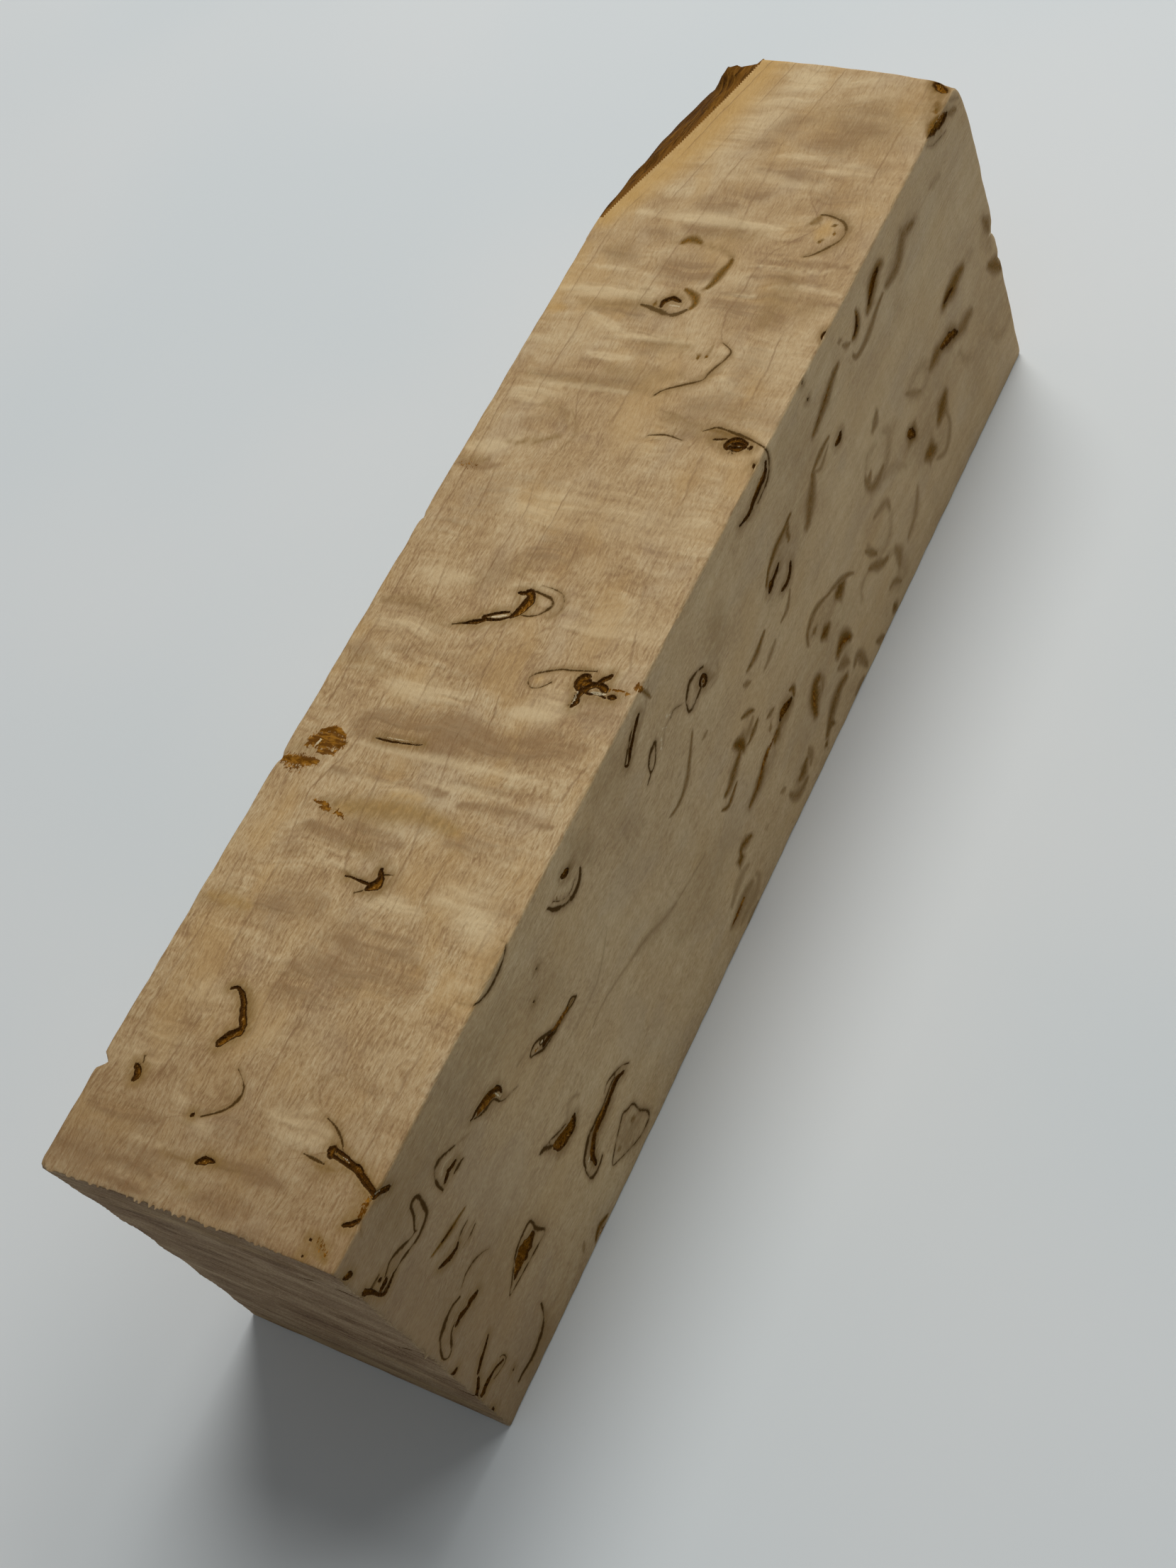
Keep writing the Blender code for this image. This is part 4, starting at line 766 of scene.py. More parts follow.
    haze(0.4, 0.45, (27.2, 13.4), (27.6, 11.4), (29, 9.8), (31.2, 9.6), (32.6, 11.4), (32.4, 13.2)),
    stain(0.3, 0.45, (29.6, 14.6), (31.2, 14.2), (32.6, 13.6), (32.8, 12.4)),
    haze(0.4, 0.4, (33, 16.6), (35.6, 15.6), (37.6, 13)),
    haze(0.4, 0.45, (23.4, 8.6), (23.8, 10), (25.6, 10.6), (27.2, 9.8), (28.6, 8.4), (31, 7.2), (32, 5.6)),
    stain(0.26, 0.65, (12.9, 15.2), (13.3, 16.3), (14.2, 16.9), (15.4, 17.2), (16.4, 17.1), (17.9, 16.5)),
    haze(1.2, 0.35, (14, 15.6), (17, 14.6), (20, 14.6)),
    stain(0.26, 0.65, (14.2, 15.4), (15, 15.4)),
    stain(0.5, 0.9, (15.4, 13.2), (16.9, 13)),
    stain(0.6, 0.9, (19.8, 14.5), (20.4, 14.3), (21.2, 14.2)),
    rust(0.4, 0.5, (15.6, 13.2), (16.6, 13.1)),
    stain(0.2, 0.65, (18.3, 16.3), (20.6, 15.5), (22.6, 14.2), (23.4, 13.4)),
    stain(0.24, 0.6, (26.5, 13), (27.2, 11.9), (28.2, 10.5)),
    stain(0.32, 0.6, (26.2, 10.5), (27.2, 9.7), (27.9, 8.9), (28.8, 8.2), (29.8, 7.8)),
    stain(0.5, 0.9, (16.6, 8.3), (17.2, 8.6), (18.2, 8.9), (19, 8.4), (19.5, 7.6)),
    haze(1, 0.35, (17, 6), (18.6, 8)),
    rust(0.3, 0.7, (17.4, 8.6), (18.1, 8.6), (19.5, 7.6)),
    stain(0.26, 0.6, (17.4, 8.6), (19.5, 7.6)),
    stain(0.4, 0.55, (16, 6.9), (17.2, 6.3), (17.9, 5.4)),
    stain(0.4, 0.6, (18.6, 3.8), (19.5, 4.2), (20.1, 3.3), (20.6, 1.2)),
    stain(0.22, 0.5, (28.7, 4.1), (29.6, 3.9), (30.8, 2.4)),
    stain(0.46, 0.5, (31.6, 7.2), (31.9, 5.6), (31.4, 4.4)),
    haze(1, 0.35, (28.8, 4), (31.4, 2.8), (32, 5.6)),
    stain(0.5, 0.8, (28.1, 1), (28.6, 1)),
    stain(0.3, 0.6, (23.5, 1.4), (24.1, 0.9), (24.9, 0.4)),
    stain(0.3, 0.5, (17.1, 0.6), (19.4, 0.6)),
    stain(0.3, 0.4, (34.4, 5.5), (36.5, 6.3), (38, 7.8), (38.6, 8.8)),
    haze(0.7, 0.35, (34.4, 5.4), (36.6, 6.2), (38.2, 8.2)),
    stain(0.66, 0.85, (41.8, 9.9), (42.6, 9.6), (43.6, 8.9)),
    stain(0.3, 0.45, (43.6, 7.4), (45.4, 6.4), (46.8, 7), (47.8, 8.6), (47.6, 10.2)),
    haze(1, 0.3, (44, 8.4), (47, 8.8)),
    stain(0.7, 0.85, (45.9, 11), (47.2, 11.8), (48.2, 12.4)),
    haze(1.2, 0.35, (45.6, 10.8), (48.6, 12.4)),
    haze(0.6, 0.5, (53, 13.6), (53.8, 12), (55.4, 10.4), (57.4, 10.2)),
    haze(0.6, 0.5, (60, 9.6), (61.2, 7.4), (63, 6.2), (65, 6.6)),
    stain(0.44, 0.6, (63.8, 22.2), (64.2, 21.3), (64.3, 20.2)),
    haze(1, 0.4, (63.6, 22.6), (64, 18)),
    stain(0.5, 0.8, (62.8, 16.5), (63.8, 15.6), (64.6, 14.6), (65.2, 13.8)),
    pale(0.2, 1, (64.4, 19.5), (65.3, 19.2)),
    bark((0.14, 0.36, 0.3), (57, 40), (57.6, 39.8), (58.3, 39.6), (59.4, 39.2)),
    bark((0.3, 0.3, 0.16), (59.4, 39.2), (60.4, 39), (61.3, 38.9)),
    rust(0.4, 0.6, (58, 39.8), (60.8, 39.4)),
    stain(0.26, 0.6, (61.6, 38.6), (63.2, 37.7)),
    line(0.15, 0.7, (56.3, 39.3), (57.4, 38.4), (58.9, 37.9), (60.4, 37.5)),
    line(0.13, 0.6, (62.3, 39.6), (64, 38.5)),
    stain(0.3, 0.3, (54.9, 35.2), (57.4, 34.5)),
    bark((0.04, 0.07, 0.04), (-36.5, 31.6), (-36.3, 31.6)),
    bark((0.04, 0.07, 0.04), (-34.4, 33.7), (-34.2, 33.7)),
    bark((0.04, 0.08, 0.04), (25.4, 39.5), (25.6, 39.5)),
    bark((0.04, 0.08, 0.04), (25.4, 37.2), (25.6, 37.2)),
    # Cloudy patches
    haze(3, 0.25, (-60, 20), (-50, 13)),
    haze(2.4, 0.25, (-19, 38), (-15, 37)),
    haze(1.6, 0.3, (-24.6, 38), (-23.4, 34.6)),
    haze(2, 0.3, (0, 31), (3, 34)),
    haze(2.6, 0.2, (-18, 14), (-8, 12)),
    haze(2.6, 0.22, (-46, 36), (-34, 30)),
    haze(3.4, 0.3, (-58, 36), (-48, 36.4), (-40, 35)),
    haze(3, 0.24, (20, 36), (24, 30)),
    glow(3, 0.3, (-34, 15.6), (-26, 13)),
    haze(4, 0.3, (55, 7), (61, 11), (65, 9)),
    haze(3.4, 0.22, (6, 8), (20, 12)),
    haze(2.4, 0.25, (12, 27), (24, 31)),
    haze(3, 0.22, (40, 13), (54, 17)),
    glow(4, 0.4, (-28, 28), (-16, 16)),
    glow(3.4, 0.4, (24, 22), (44, 27)),
    glow(3, 0.35, (46, 30), (60, 27)),
    glow(2.6, 0.3, (-52, 20), (-42, 22)),
    shade(2.6, 0.35, (-20, 34), (-16, 26)),
    glow(3, 0.4, (-30, 7), (-20, 5)),
]

# Pockets on the faces that the photograph hides, as in the solid, and rust over the left edge
LEFT_MARKS = [
    bark((0.12, 0.34, 0.12), (-52, 27), (-49.5, 28.2), (-46.8, 27.6)),
    bark((0.12, 0.3, 0.12), (-30, 12.5), (-27.6, 14.4), (-24.6, 14.2), (-23.2, 12.9)),
    bark((0.12, 0.28, 0.12), (-8.5, 31), (-5.5, 30.1), (-3, 30.4)),
    bark((0.25, 0.55, 0.25), (9.5, 18.4), (11.2, 18.9), (12.9, 18.3)),
    bark((0.1, 0.26, 0.1), (28, 8.6), (31, 9.8), (33.6, 9.4)),
    bark((0.12, 0.32, 0.12), (44, 22.8), (46.2, 23.6), (47.2, 25.2)),
    rust(0.4, 1, (-24.6, 40), (-24.8, 38.6), (-24.4, 37.2)),
]
FOOT_MARKS = [
    bark((0.12, 0.32, 0.12), (-44, 6), (-41.2, 7), (-38.6, 6.3)),
    bark((0.12, 0.3, 0.12), (-20.5, -7.6), (-18.4, -6.2), (-17.6, -4.2)),
    bark((0.12, 0.28, 0.12), (22, 4.8), (24.8, 4.2), (27.3, 4.9)),
    bark((0.2, 0.38, 0.2), (46, -6.2), (47.4, -5.7)),
]

# Marks on the near end: each point is Y and Z
NEAR_MARKS = [
    line(0.18, 0.7, (11.2, 29.5), (6, 31.8), (1.7, 33.7)),
    line(0.18, 0.6, (-2, 28.4), (-8.1, 30.4)),
    line(0.18, 0.7, (10.6, 24.6), (5.5, 27.9), (0.8, 30.8)),
    line(0.2, 0.7, (-3.6, 30.3), (-8, 32.4), (-11.5, 33.6)),
    bark((0.06, 0.13, 0.06), (-7.3, 32), (-10, 33.6), (-12.2, 33.7)),
    bark((0.06, 0.15, 0.08), (-10.6, 17.7), (-12.6, 19.2), (-14.6, 19.8)),
    line(0.2, 0.6, (11.3, 4), (4.5, 6)),
    bark((0.1, 0.18, 0.1), (-12.4, 34.4), (-14.6, 34.4)),
    bark((0.08, 0.14, 0.08), (-12.8, 8.8), (-14.8, 9)),
    line(0.2, 0.8, (12.6, 2.2), (6, 3.4), (0.3, 4.4), (-5.6, 5.4), (-12.5, 6)),
    line(0.16, 0.5, (8, 13.4), (-1, 15.2), (-9, 16)),
    line(0.16, 0.5, (13, 18), (6, 20.4)),
    haze(1.4, 0.35, (12, 36), (0, 37), (-12, 36)),
    shade(1.6, 0.5, (12, 14), (-2, 12), (-13, 10)),
    shade(1.2, 0.5, (10, 24), (-4, 22)),
    # Painted light: a lighter band along the foot, standing in for light thrown up from the floor
    glow(1.5, 0.9, (14, 0.8), (4, 1.6), (-5, 2.4), (-14.6, 3)),
    glow(0.8, 0.6, (4, 10), (-6, 9), (-12, 7.6)),
    # Painted highlight: a light line down the right edge
    glow(0.22, 0.9, (-14.85, 38.5), (-14.85, 24), (-14.85, 10), (-14.85, 1)),
    glow(0.6, 0.6, (13, 33), (4, 35.4), (-6, 36.6)),
]


def smooth_step(low, high, value):
    """Goes smoothly from 0 to 1 as value goes from low to high."""
    share = np.clip((value - low) / (high - low), 0.0, 1.0)
    return share * share * (3.0 - 2.0 * share)


def saw_wave(y, z):
    """The shallow waves that a saw leaves in a cut."""
    return SAW_WAVE * np.sin(math.tau * z / SAW_PITCH + 0.08 * y) * np.sin(math.pi * z / HEIGHT)


def near_cut(y, z):
    """X of the near saw cut."""
    lean = NEAR_LEAN + NEAR_TWIST * y + NEAR_HOLLOW * y * y
    return NEAR_X - lean * (z / HEIGHT) ** 2 + saw_wave(y, z)


def far_cut(y, z):
    """X of the far saw cut."""
    reach = (y + SIDE_Y) / FAR_CORNER_REACH_Y + (HEIGHT - z) / FAR_CORNER_REACH_Z
    return FAR_X + FAR_SKEW * y - FAR_CORNER_LOSS * np.exp(-reach) - saw_wave(y, z)


def bark_line(x):
    """The Y where the sawn upper face ends and the bark begins."""
    back = FAR_X - x
    straight = BARK_FAR_Y + BARK_SLOPE * back + BARK_CURVE * back * back
    return SIDE_Y - BARK_BLEND * np.log1p(np.exp((SIDE_Y - straight) / BARK_BLEND))


def noise_at(x, y, z):
    """Smooth noise from -1 to 1 at each point."""
    return np.array([noise.noise(Vector(point)) for point in zip(x, y, z)])


def bark_height(x, y):
    """Height of the surface at the bark corner."""
    out = np.maximum(y - bark_line(x), 0.0)
    grown = smooth_step(0.0, BARK_GROWN_Y, out)
    lump = BARK_LUMP * noise_at(x / BARK_LUMP_LENGTH, out / BARK_LUMP_WIDTH, np.full_like(x, 4.3))
    swell = PLATE_SWELL * np.exp(-((x - PLATE_SWELL_X) / PLATE_SWELL_REACH) ** 2)
    swell *= 1.0 - smooth_step(*PLATE_SWELL_FADE, out)
    missing = PLATE_THICKNESS * smooth_step(PLATE_END_X, PLATE_END_X + PLATE_END_RUN, x)
    height = HEIGHT - BARK_FALL * out - BARK_ROUND * out * out + grown * (lump + swell - missing)
    return np.minimum(height, HEIGHT - BARK_UNDER)


# Faces

class Face:
    """One face of the block: two of its coordinates vary and the third is set by `place`."""

    def __init__(self, name, low, high, place, step, marks, flip):
        self.name = name
        self.low = low
        self.high = high
        self.place = place
        self.step = step
        self.marks = marks
        self.flip = flip


def on_level(z):
    """Puts a face's own coordinates on a level plane."""
    return lambda u, v: np.stack([u, v, np.full_like(u, z)], axis=1)


def on_side(y):
    """Puts a face's own coordinates on a long side."""
    return lambda u, v: np.stack([u, np.full_like(u, y), v], axis=1)


def on_cut(cut):
    """Puts a face's own coordinates on a saw cut."""
    return lambda u, v: np.stack([cut(u, v), u, v], axis=1)


def rim(face_name):
    """Closed outline of a face in its own two coordinates, with the same points on shared edges."""
    ys = np.linspace(-SIDE_Y, SIDE_Y, int(2 * SIDE_Y / LIP_STEP) + 1)
    zs = np.linspace(0.0, HEIGHT, int(HEIGHT / EDGE_STEP) + 1)
    share = np.linspace(0.0, 1.0, int(LENGTH / EDGE_STEP) + 1)

    def along(y, z):
        near = near_cut(y, z)
        return near + share * (far_cut(y, z) - near)

    if face_name in ("top", "foot"):
        z = HEIGHT if face_name == "top" else 0.0
        low, high = (along(-SIDE_Y, z), -SIDE_Y), (along(SIDE_Y, z), SIDE_Y)
        far, near = (far_cut(ys, z), ys), (near_cut(ys, z), ys)
    elif face_name in ("right", "left"):
        y = -SIDE_Y if face_name == "right" else SIDE_Y
        low, high = (along(y, 0.0), 0.0), (along(y, HEIGHT), HEIGHT)
        far, near = (far_cut(y, zs), zs), (near_cut(y, zs), zs)
    else:
        low, high = (ys, 0.0), (ys, HEIGHT)
        far, near = (SIDE_Y, zs), (-SIDE_Y, zs)
    low, far, high, near = (np.stack(np.broadcast_arrays(*side), axis=1) for side in (low, far, high, near))
    return np.concatenate([low[:-1], far[:-1], high[:0:-1], near[:0:-1]])


def inset_rows(face):
    """Rows of points close to the rim, which carry the rounding of the arrises."""
    outline = rim(face.name)
    middle = (face.low + face.high) / 2
    rows = []
    for depth in ARRIS_ROWS:
        picked = outline[:: 1 if depth < CLOSE_ROW else 2]
        u, v = picked[:, 0], picked[:, 1]
        inner_u = u - np.sign(u - middle[0]) * depth
        inner_v = np.clip(v, face.low[1] + depth, face.high[1] - depth)
        side = (np.abs(v - face.low[1]) < ON_EDGE) | (np.abs(v - face.high[1]) < ON_EDGE)
        rows.append(np.stack([np.where(side, u, inner_u), inner_v], axis=1))
    return np.concatenate(rows)


def hex_grid(low, high, step):
    """Evenly spread points in rows that are shifted by half a step, slightly out of line."""
    rows = []
    v = low[1] + step * 0.6
    odd = False
    while v < high[1]:
        u = np.arange(low[0] + step * (0.9 if odd else 0.4), high[0], step)
        rows.append(np.stack([u, np.full_like(u, v)], axis=1))
        odd = not odd
        v += step * ROW_HEIGHT
    points = np.concatenate(rows)
    return points + RANDOM.uniform(-GRID_DRIFT, GRID_DRIFT, points.shape) * step


def sampled(points, step):
    """A smooth curve through the points, as evenly spaced samples, and how far along each one is."""
    given = np.array(points, dtype=float)
    if len(given) == 2:
        knots = np.array([given[0], given[0] + (given[1] - given[0]) * 0.5, given[1]])
    else:
        knots = given
    closed = np.allclose(knots[0], knots[-1])
    before = knots[-2] if closed else 2 * knots[0] - knots[1]
    after = knots[1] if closed else 2 * knots[-1] - knots[-2]
    padded = np.vstack([before, knots, after])
    fine = []
    for i in range(1, len(padded) - 2):
        p0, p1, p2, p3 = padded[i - 1:i + 3]
        t = np.linspace(0.0, 1.0, 13)[:-1, None]
        fine.append(0.5 * (2 * p1 + (p2 - p0) * t + (2 * p0 - 5 * p1 + 4 * p2 - p3) * t ** 2
                           + (3 * p1 - p0 - 3 * p2 + p3) * t ** 3))
    fine = np.vstack(fine + [knots[-1:]])
    gone = np.concatenate([[0.0], np.cumsum(np.linalg.norm(np.diff(fine, axis=0), axis=1))])
    count = max(3, int(round(gone[-1] / step)) + 1)
    where = np.linspace(0.0, gone[-1], count)
    curve = np.stack([np.interp(where, gone, fine[:, 0]), np.interp(where, gone, fine[:, 1])], axis=1)
    return curve, where / max(gone[-1], 1e-9)


def half_widths(widths, share):
    """Half width of a mark at each share of its length."""
    return np.interp(share, [0.0, 0.5, 1.0], widths)


# Rows of points beside a stroke, as (multiples of its half width, extra distance in millimetres)
ROWS = {
    "bark": ((0.5, 0.0), (0.85, 0.0), (1.0, 0.02), (1.0, 0.22)),
    "line": ((2.4, 0.0),),
    "stain": ((0.9, 0.0), (2.2, 0.0)),
    "rust": ((1.2, 0.0),),
    "pale": ((1.2, 0.0),),
}
STROKE_STEP = {"bark": 0.18, "line": 0.26, "stain": 0.26, "rust": 0.26, "pale": 0.24}

# Marks wider than this have soft edges, which the plain grid carries
BROAD = 0.7


def stroke_rows(stroke):
    """Points along a stroke and beside it, so that the mesh can carry its edges."""
    kind, widths, _, points = stroke
    if kind not in ROWS or (kind != "bark" and max(widths) > BROAD):
        return np.zeros((0, 2))
    curve, share = sampled(points, STROKE_STEP[kind])
    width = half_widths(widths, share)
    ahead = np.gradient(curve, axis=0)
    ahead /= np.maximum(np.linalg.norm(ahead, axis=1, keepdims=True), 1e-9)
    across = np.stack([-ahead[:, 1], ahead[:, 0]], axis=1)
    found = [curve]
    for order, (times, extra) in enumerate(ROWS[kind]):
        offset = width * times + extra
        for hand in (-1.0, 1.0):
            row = curve + across * (offset * hand)[:, None]
            # Every other row sits half a step along, so that the triangles are even
            found.append((row[:-1] + row[1:]) / 2 if order % 2 == 0 else row)
    if kind == "bark":
        for end, way in ((0, -1.0), (-1, 1.0)):
            reach = width[end] + TIP_GAP
            found.append((curve[end] + ahead[end] * way * reach)[None, :])
    return np.concatenate(found)


def thinned(points, gap, kept):
    """The points, in order, that lie at least `gap` from the kept ones and from each one before them."""
    cells = {}

    def cell(point):
        return int(point[0] // gap), int(point[1] // gap)

    def crowded(point):
        middle_u, middle_v = cell(point)
        for u in (middle_u - 1, middle_u, middle_u + 1):
            for v in (middle_v - 1, middle_v, middle_v + 1):
                for other in cells.get((u, v), ()):
                    if (other[0] - point[0]) ** 2 + (other[1] - point[1]) ** 2 < gap * gap:
                        return True
        return False

    for point in kept:
        cells.setdefault(cell(point), []).append(point)
    chosen = []
    for point in points:
        if not crowded(point):
            chosen.append(point)
            cells.setdefault(cell(point), []).append(point)
    return np.array(chosen).reshape(-1, 2)


def random_marks(low, high, gap, count):
    """Scattered flecks for a face that the photograph doesn't show: a core, an arc round it and haze."""
    marks = []
    taken = []
    for _ in range(count * 12):
        if len(taken) >= count:
            break
        centre = RANDOM.uniform(low + 2.0, high - 2.0)
        if any(np.linalg.norm(centre - other) < gap for other in taken):
            continue
        taken.append(centre)
        turn = math.radians(RANDOM.uniform(-38, 38))
        ahead = np.array([math.cos(turn), math.sin(turn)])
        across = np.array([-ahead[1], ahead[0]]) * RANDOM.choice((-1.0, 1.0))
        reach = RANDOM.uniform(0.5, 1.9)
        bow = RANDOM.uniform(0.1, 0.5) * reach
        core = [tuple(centre + ahead * reach * t + across * bow * (1 - t * t))
                for t in (-1.0, -0.3, 0.4, 1.0)]
        width = RANDOM.uniform(0.1, 0.34)
        if RANDOM.random() < 0.55:
            marks.append(bark((width * 0.5, width, width * 0.4), *core))
            marks.append(rust(width, RANDOM.uniform(0.2, 0.9), *core))
        else:
            marks.append(stain(width, RANDOM.uniform(0.4, 0.85), *core))
        if RANDOM.random() < 0.6:
            wide = reach * RANDOM.uniform(1.2, 1.9)
            lift = RANDOM.uniform(0.7, 1.5)
            arc = [tuple(centre + ahead * wide * t + across * (bow + lift * (1 - t * t)))
                   for t in (-1.0, -0.5, 0.0, 0.5, 1.0)]
            marks.append(line(RANDOM.uniform(0.09, 0.16), RANDOM.uniform(0.4, 0.9), *arc))
        marks.append(haze(RANDOM.uniform(0.6, 1.3), RANDOM.uniform(0.2, 0.45), core[0], core[-1]))
    for _ in range(count // 3):
        centre = RANDOM.uniform(low, high)
        drift = RANDOM.uniform(1.0, 4.0) * np.array([0.35, 1.0])
        kind = shade if RANDOM.random() < 0.5 else glow
        ends = (tuple(centre - drift), tuple(centre + drift))
        marks.append(kind(RANDOM.uniform(0.9, 2.2), RANDOM.uniform(0.3, 0.6), *ends))
    return marks


RANDOM = np.random.default_rng(52)

# Corners of the faces in their own two coordinates: upper and foot, the two sides, and the two ends
FLAT = np.array([[-GRID_END_X, -SIDE_Y], [GRID_END_X, SIDE_Y]])
SIDE = np.array([[-GRID_END_X, 0.0], [GRID_END_X, HEIGHT]])
END = np.array([[-SIDE_Y, 0.0], [SIDE_Y, HEIGHT]])

# Where flecks are scattered on the hidden faces, how far apart and how many
FOOT_FLECKS = (np.array([-64.0, -14.0]), np.array([64.0, 14.0]), 4.6, 62)
LEFT_FLECKS = (np.array([-64.0, 1.0]), np.array([63.0, 36.0]), 4.6, 84)
FAR_FLECKS = (np.array([-14.0, 1.0]), np.array([14.0, 34.0]), 4.2, 14)

# How much broader the marks are than their measured middles
TOP_BROADER = {"bark": 1.35, "rust": 1.2, "shade": 1.25}
RIGHT_BROADER = {"bark": 1.35, "stain": 1.5, "line": 1.6, "rust": 1.4, "haze": 1.3}

FACES = [
    Face("top", *FLAT, on_level(HEIGHT), FINE_STEP, broader(TOP_MARKS, TOP_BROADER), False),
    Face("foot", *FLAT, on_level(0.0), PLAIN_STEP, FOOT_MARKS + random_marks(*FOOT_FLECKS), True),
    Face("right", *SIDE, on_side(-SIDE_Y), FINE_STEP, broader(RIGHT_MARKS, RIGHT_BROADER), False),
    Face("left", *SIDE, on_side(SIDE_Y), PLAIN_STEP, LEFT_MARKS + random_marks(*LEFT_FLECKS), True),
    Face("near", *END, on_cut(near_cut), FINE_STEP, NEAR_MARKS, True),
    Face("far", *END, on_cut(far_cut), PLAIN_STEP, random_marks(*FAR_FLECKS), False),
]


def end_margin(face, points):
    """How far each point of a face lies inside its two short edges."""
    u, v = points.T
    if face.name in ("near", "far"):
        return SIDE_Y - np.abs(u)
    y, z = {"top": (v, HEIGHT), "foot": (v, 0.0), "right": (-SIDE_Y, v), "left": (SIDE_Y, v)}[face.name]
    return np.minimum(u - near_cut(y, z), far_cut(y, z) - u)


def fill(face):
    """Triangles over one face: its rim, rows beside the rim and the strokes, and a grid between them."""
    outline = rim(face.name)
    rows = [inset_rows(face)] + [stroke_rows(stroke) for stroke in face.marks]
    if face.name == "top":
        x = np.arange(*BARK_ROWS_X, BARK_ROW_STEP)
        rows += [np.stack([x, bark_line(x) + side], axis=1) for side in BARK_ROWS]
    inner = np.concatenate(rows)
    inside = (inner[:, 0] > outline[:, 0].min()) & (inner[:, 0] < outline[:, 0].max())
    inside &= (inner[:, 1] > face.low[1] + RIM_GAP) & (inner[:, 1] < face.high[1] - RIM_GAP)
    inner = inner[inside]
    inner = thinned(inner[end_margin(face, inner) > RIM_GAP], DETAIL_GAP, outline)
    grid = hex_grid(face.low, face.high, face.step)
    margin = np.minimum(grid[:, 1] - face.low[1], face.high[1] - grid[:, 1])
    margin = np.minimum(margin, end_margin(face, grid))
    grid = thinned(grid[margin > GRID_MARGIN], SPARE_GAP, np.concatenate([outline, inner]))
    points = np.concatenate([outline, inner, grid])
    count = len(outline)
    edges = [(i, (i + 1) % count) for i in range(count)]
    corners = [Vector(point) for point in points.tolist()]
    found, _, triangles, *_ = delaunay_2d_cdt(corners, edges, [], 1, DELAUNAY_GAP)
    flat = np.array([tuple(point) for point in found])
    triangles = np.array([tuple(triangle) for triangle in triangles])
    if face.flip:
        triangles = triangles[:, ::-1]
    return face.place(flat[:, 0], flat[:, 1]), triangles


# Marks on the surface

FIELDS = ("line", "stain", "haze", "rust", "pale", "shade", "glow", "gold")

# How far each kind of mark fades out, as a multiple of its half width
REACH = {
    "line": 4.0, "stain": 3.0, "haze": 2.2, "rust": 1.3,
    "pale": 1.3, "shade": 2.0, "glow": 2.0, "gold": 1.8,
}

# How closely a mark is sampled when the distance to it is measured
BARK_SAMPLES = 0.12
MARK_SAMPLES = 0.25


def stroke_distance(flat, stroke, step):
    """Which points are near a stroke, how far from its middle line, and how wide half of it is there."""
    _, widths, _, points = stroke
    curve, share = sampled(points, step)
    width = half_widths(widths, share)
    # Far enough out for every kind of mark to fade
    margin = max(widths) * 2.4 + 1.2
    low, high = curve.min(axis=0) - margin, curve.max(axis=0) + margin
    near = np.nonzero(((flat > low) & (flat < high)).all(axis=1))[0]
    if not len(near):
        return near, None, None
    start, step_along = curve[:-1], np.diff(curve, axis=0)
    length = np.maximum((step_along ** 2).sum(axis=1), 1e-12)
    away = flat[near][:, None, :] - start[None, :, :]
    along = np.clip((away * step_along).sum(axis=2) / length, 0.0, 1.0)
    gap = np.linalg.norm(away - along[:, :, None] * step_along, axis=2)
    best = gap.argmin(axis=1)
    rows = np.arange(len(near))
    t = along[rows, best]
    return near, gap[rows, best], width[best] * (1 - t) + width[best + 1] * t


def painted(flat, marks):
    """The marks of one face as values per point, the distance to the nearest bark, and the depth there."""
    count = len(flat)
    fields = {name: np.zeros(count) for name in FIELDS}
    edge = np.full(count, NO_MARK)
    depth = np.zeros(count)
    for stroke in marks:
        kind, widths, strength, _ = stroke
        near, gap, width = stroke_distance(flat, stroke, BARK_SAMPLES if kind == "bark" else MARK_SAMPLES)
        if not len(near):
            continue
        if kind == "bark":
            u, v = flat[near].T * RAGGED_PITCH
            ragged = RAGGED * width * noise_at(u, v, np.full(len(near), 7.7))
            out = gap - width - ragged
            edge[near] = np.minimum(edge[near], out)
            wall = smooth_step(*POCKET_WALL, out / np.maximum(width, 0.05))
            depth[near] = np.maximum(depth[near], (POCKET_DEPTH + POCKET_GROWTH * width) * wall)
            continue
        reach = REACH[kind] * width
        share = np.clip(1.0 - gap / np.maximum(reach, 1e-6), 0.0, 1.0)
        value = strength * share if kind == "line" else strength * share * share * (3 - 2 * share)
        fields[kind][near] = np.maximum(fields[kind][near], value)
    depth = np.maximum(depth, LINE_DEPTH * smooth_step(0.6, 0.9, fields["line"]))
    depth = np.maximum(depth, STAIN_DEPTH * smooth_step(0.4, 0.9, fields["stain"]))
    return fields, edge, depth


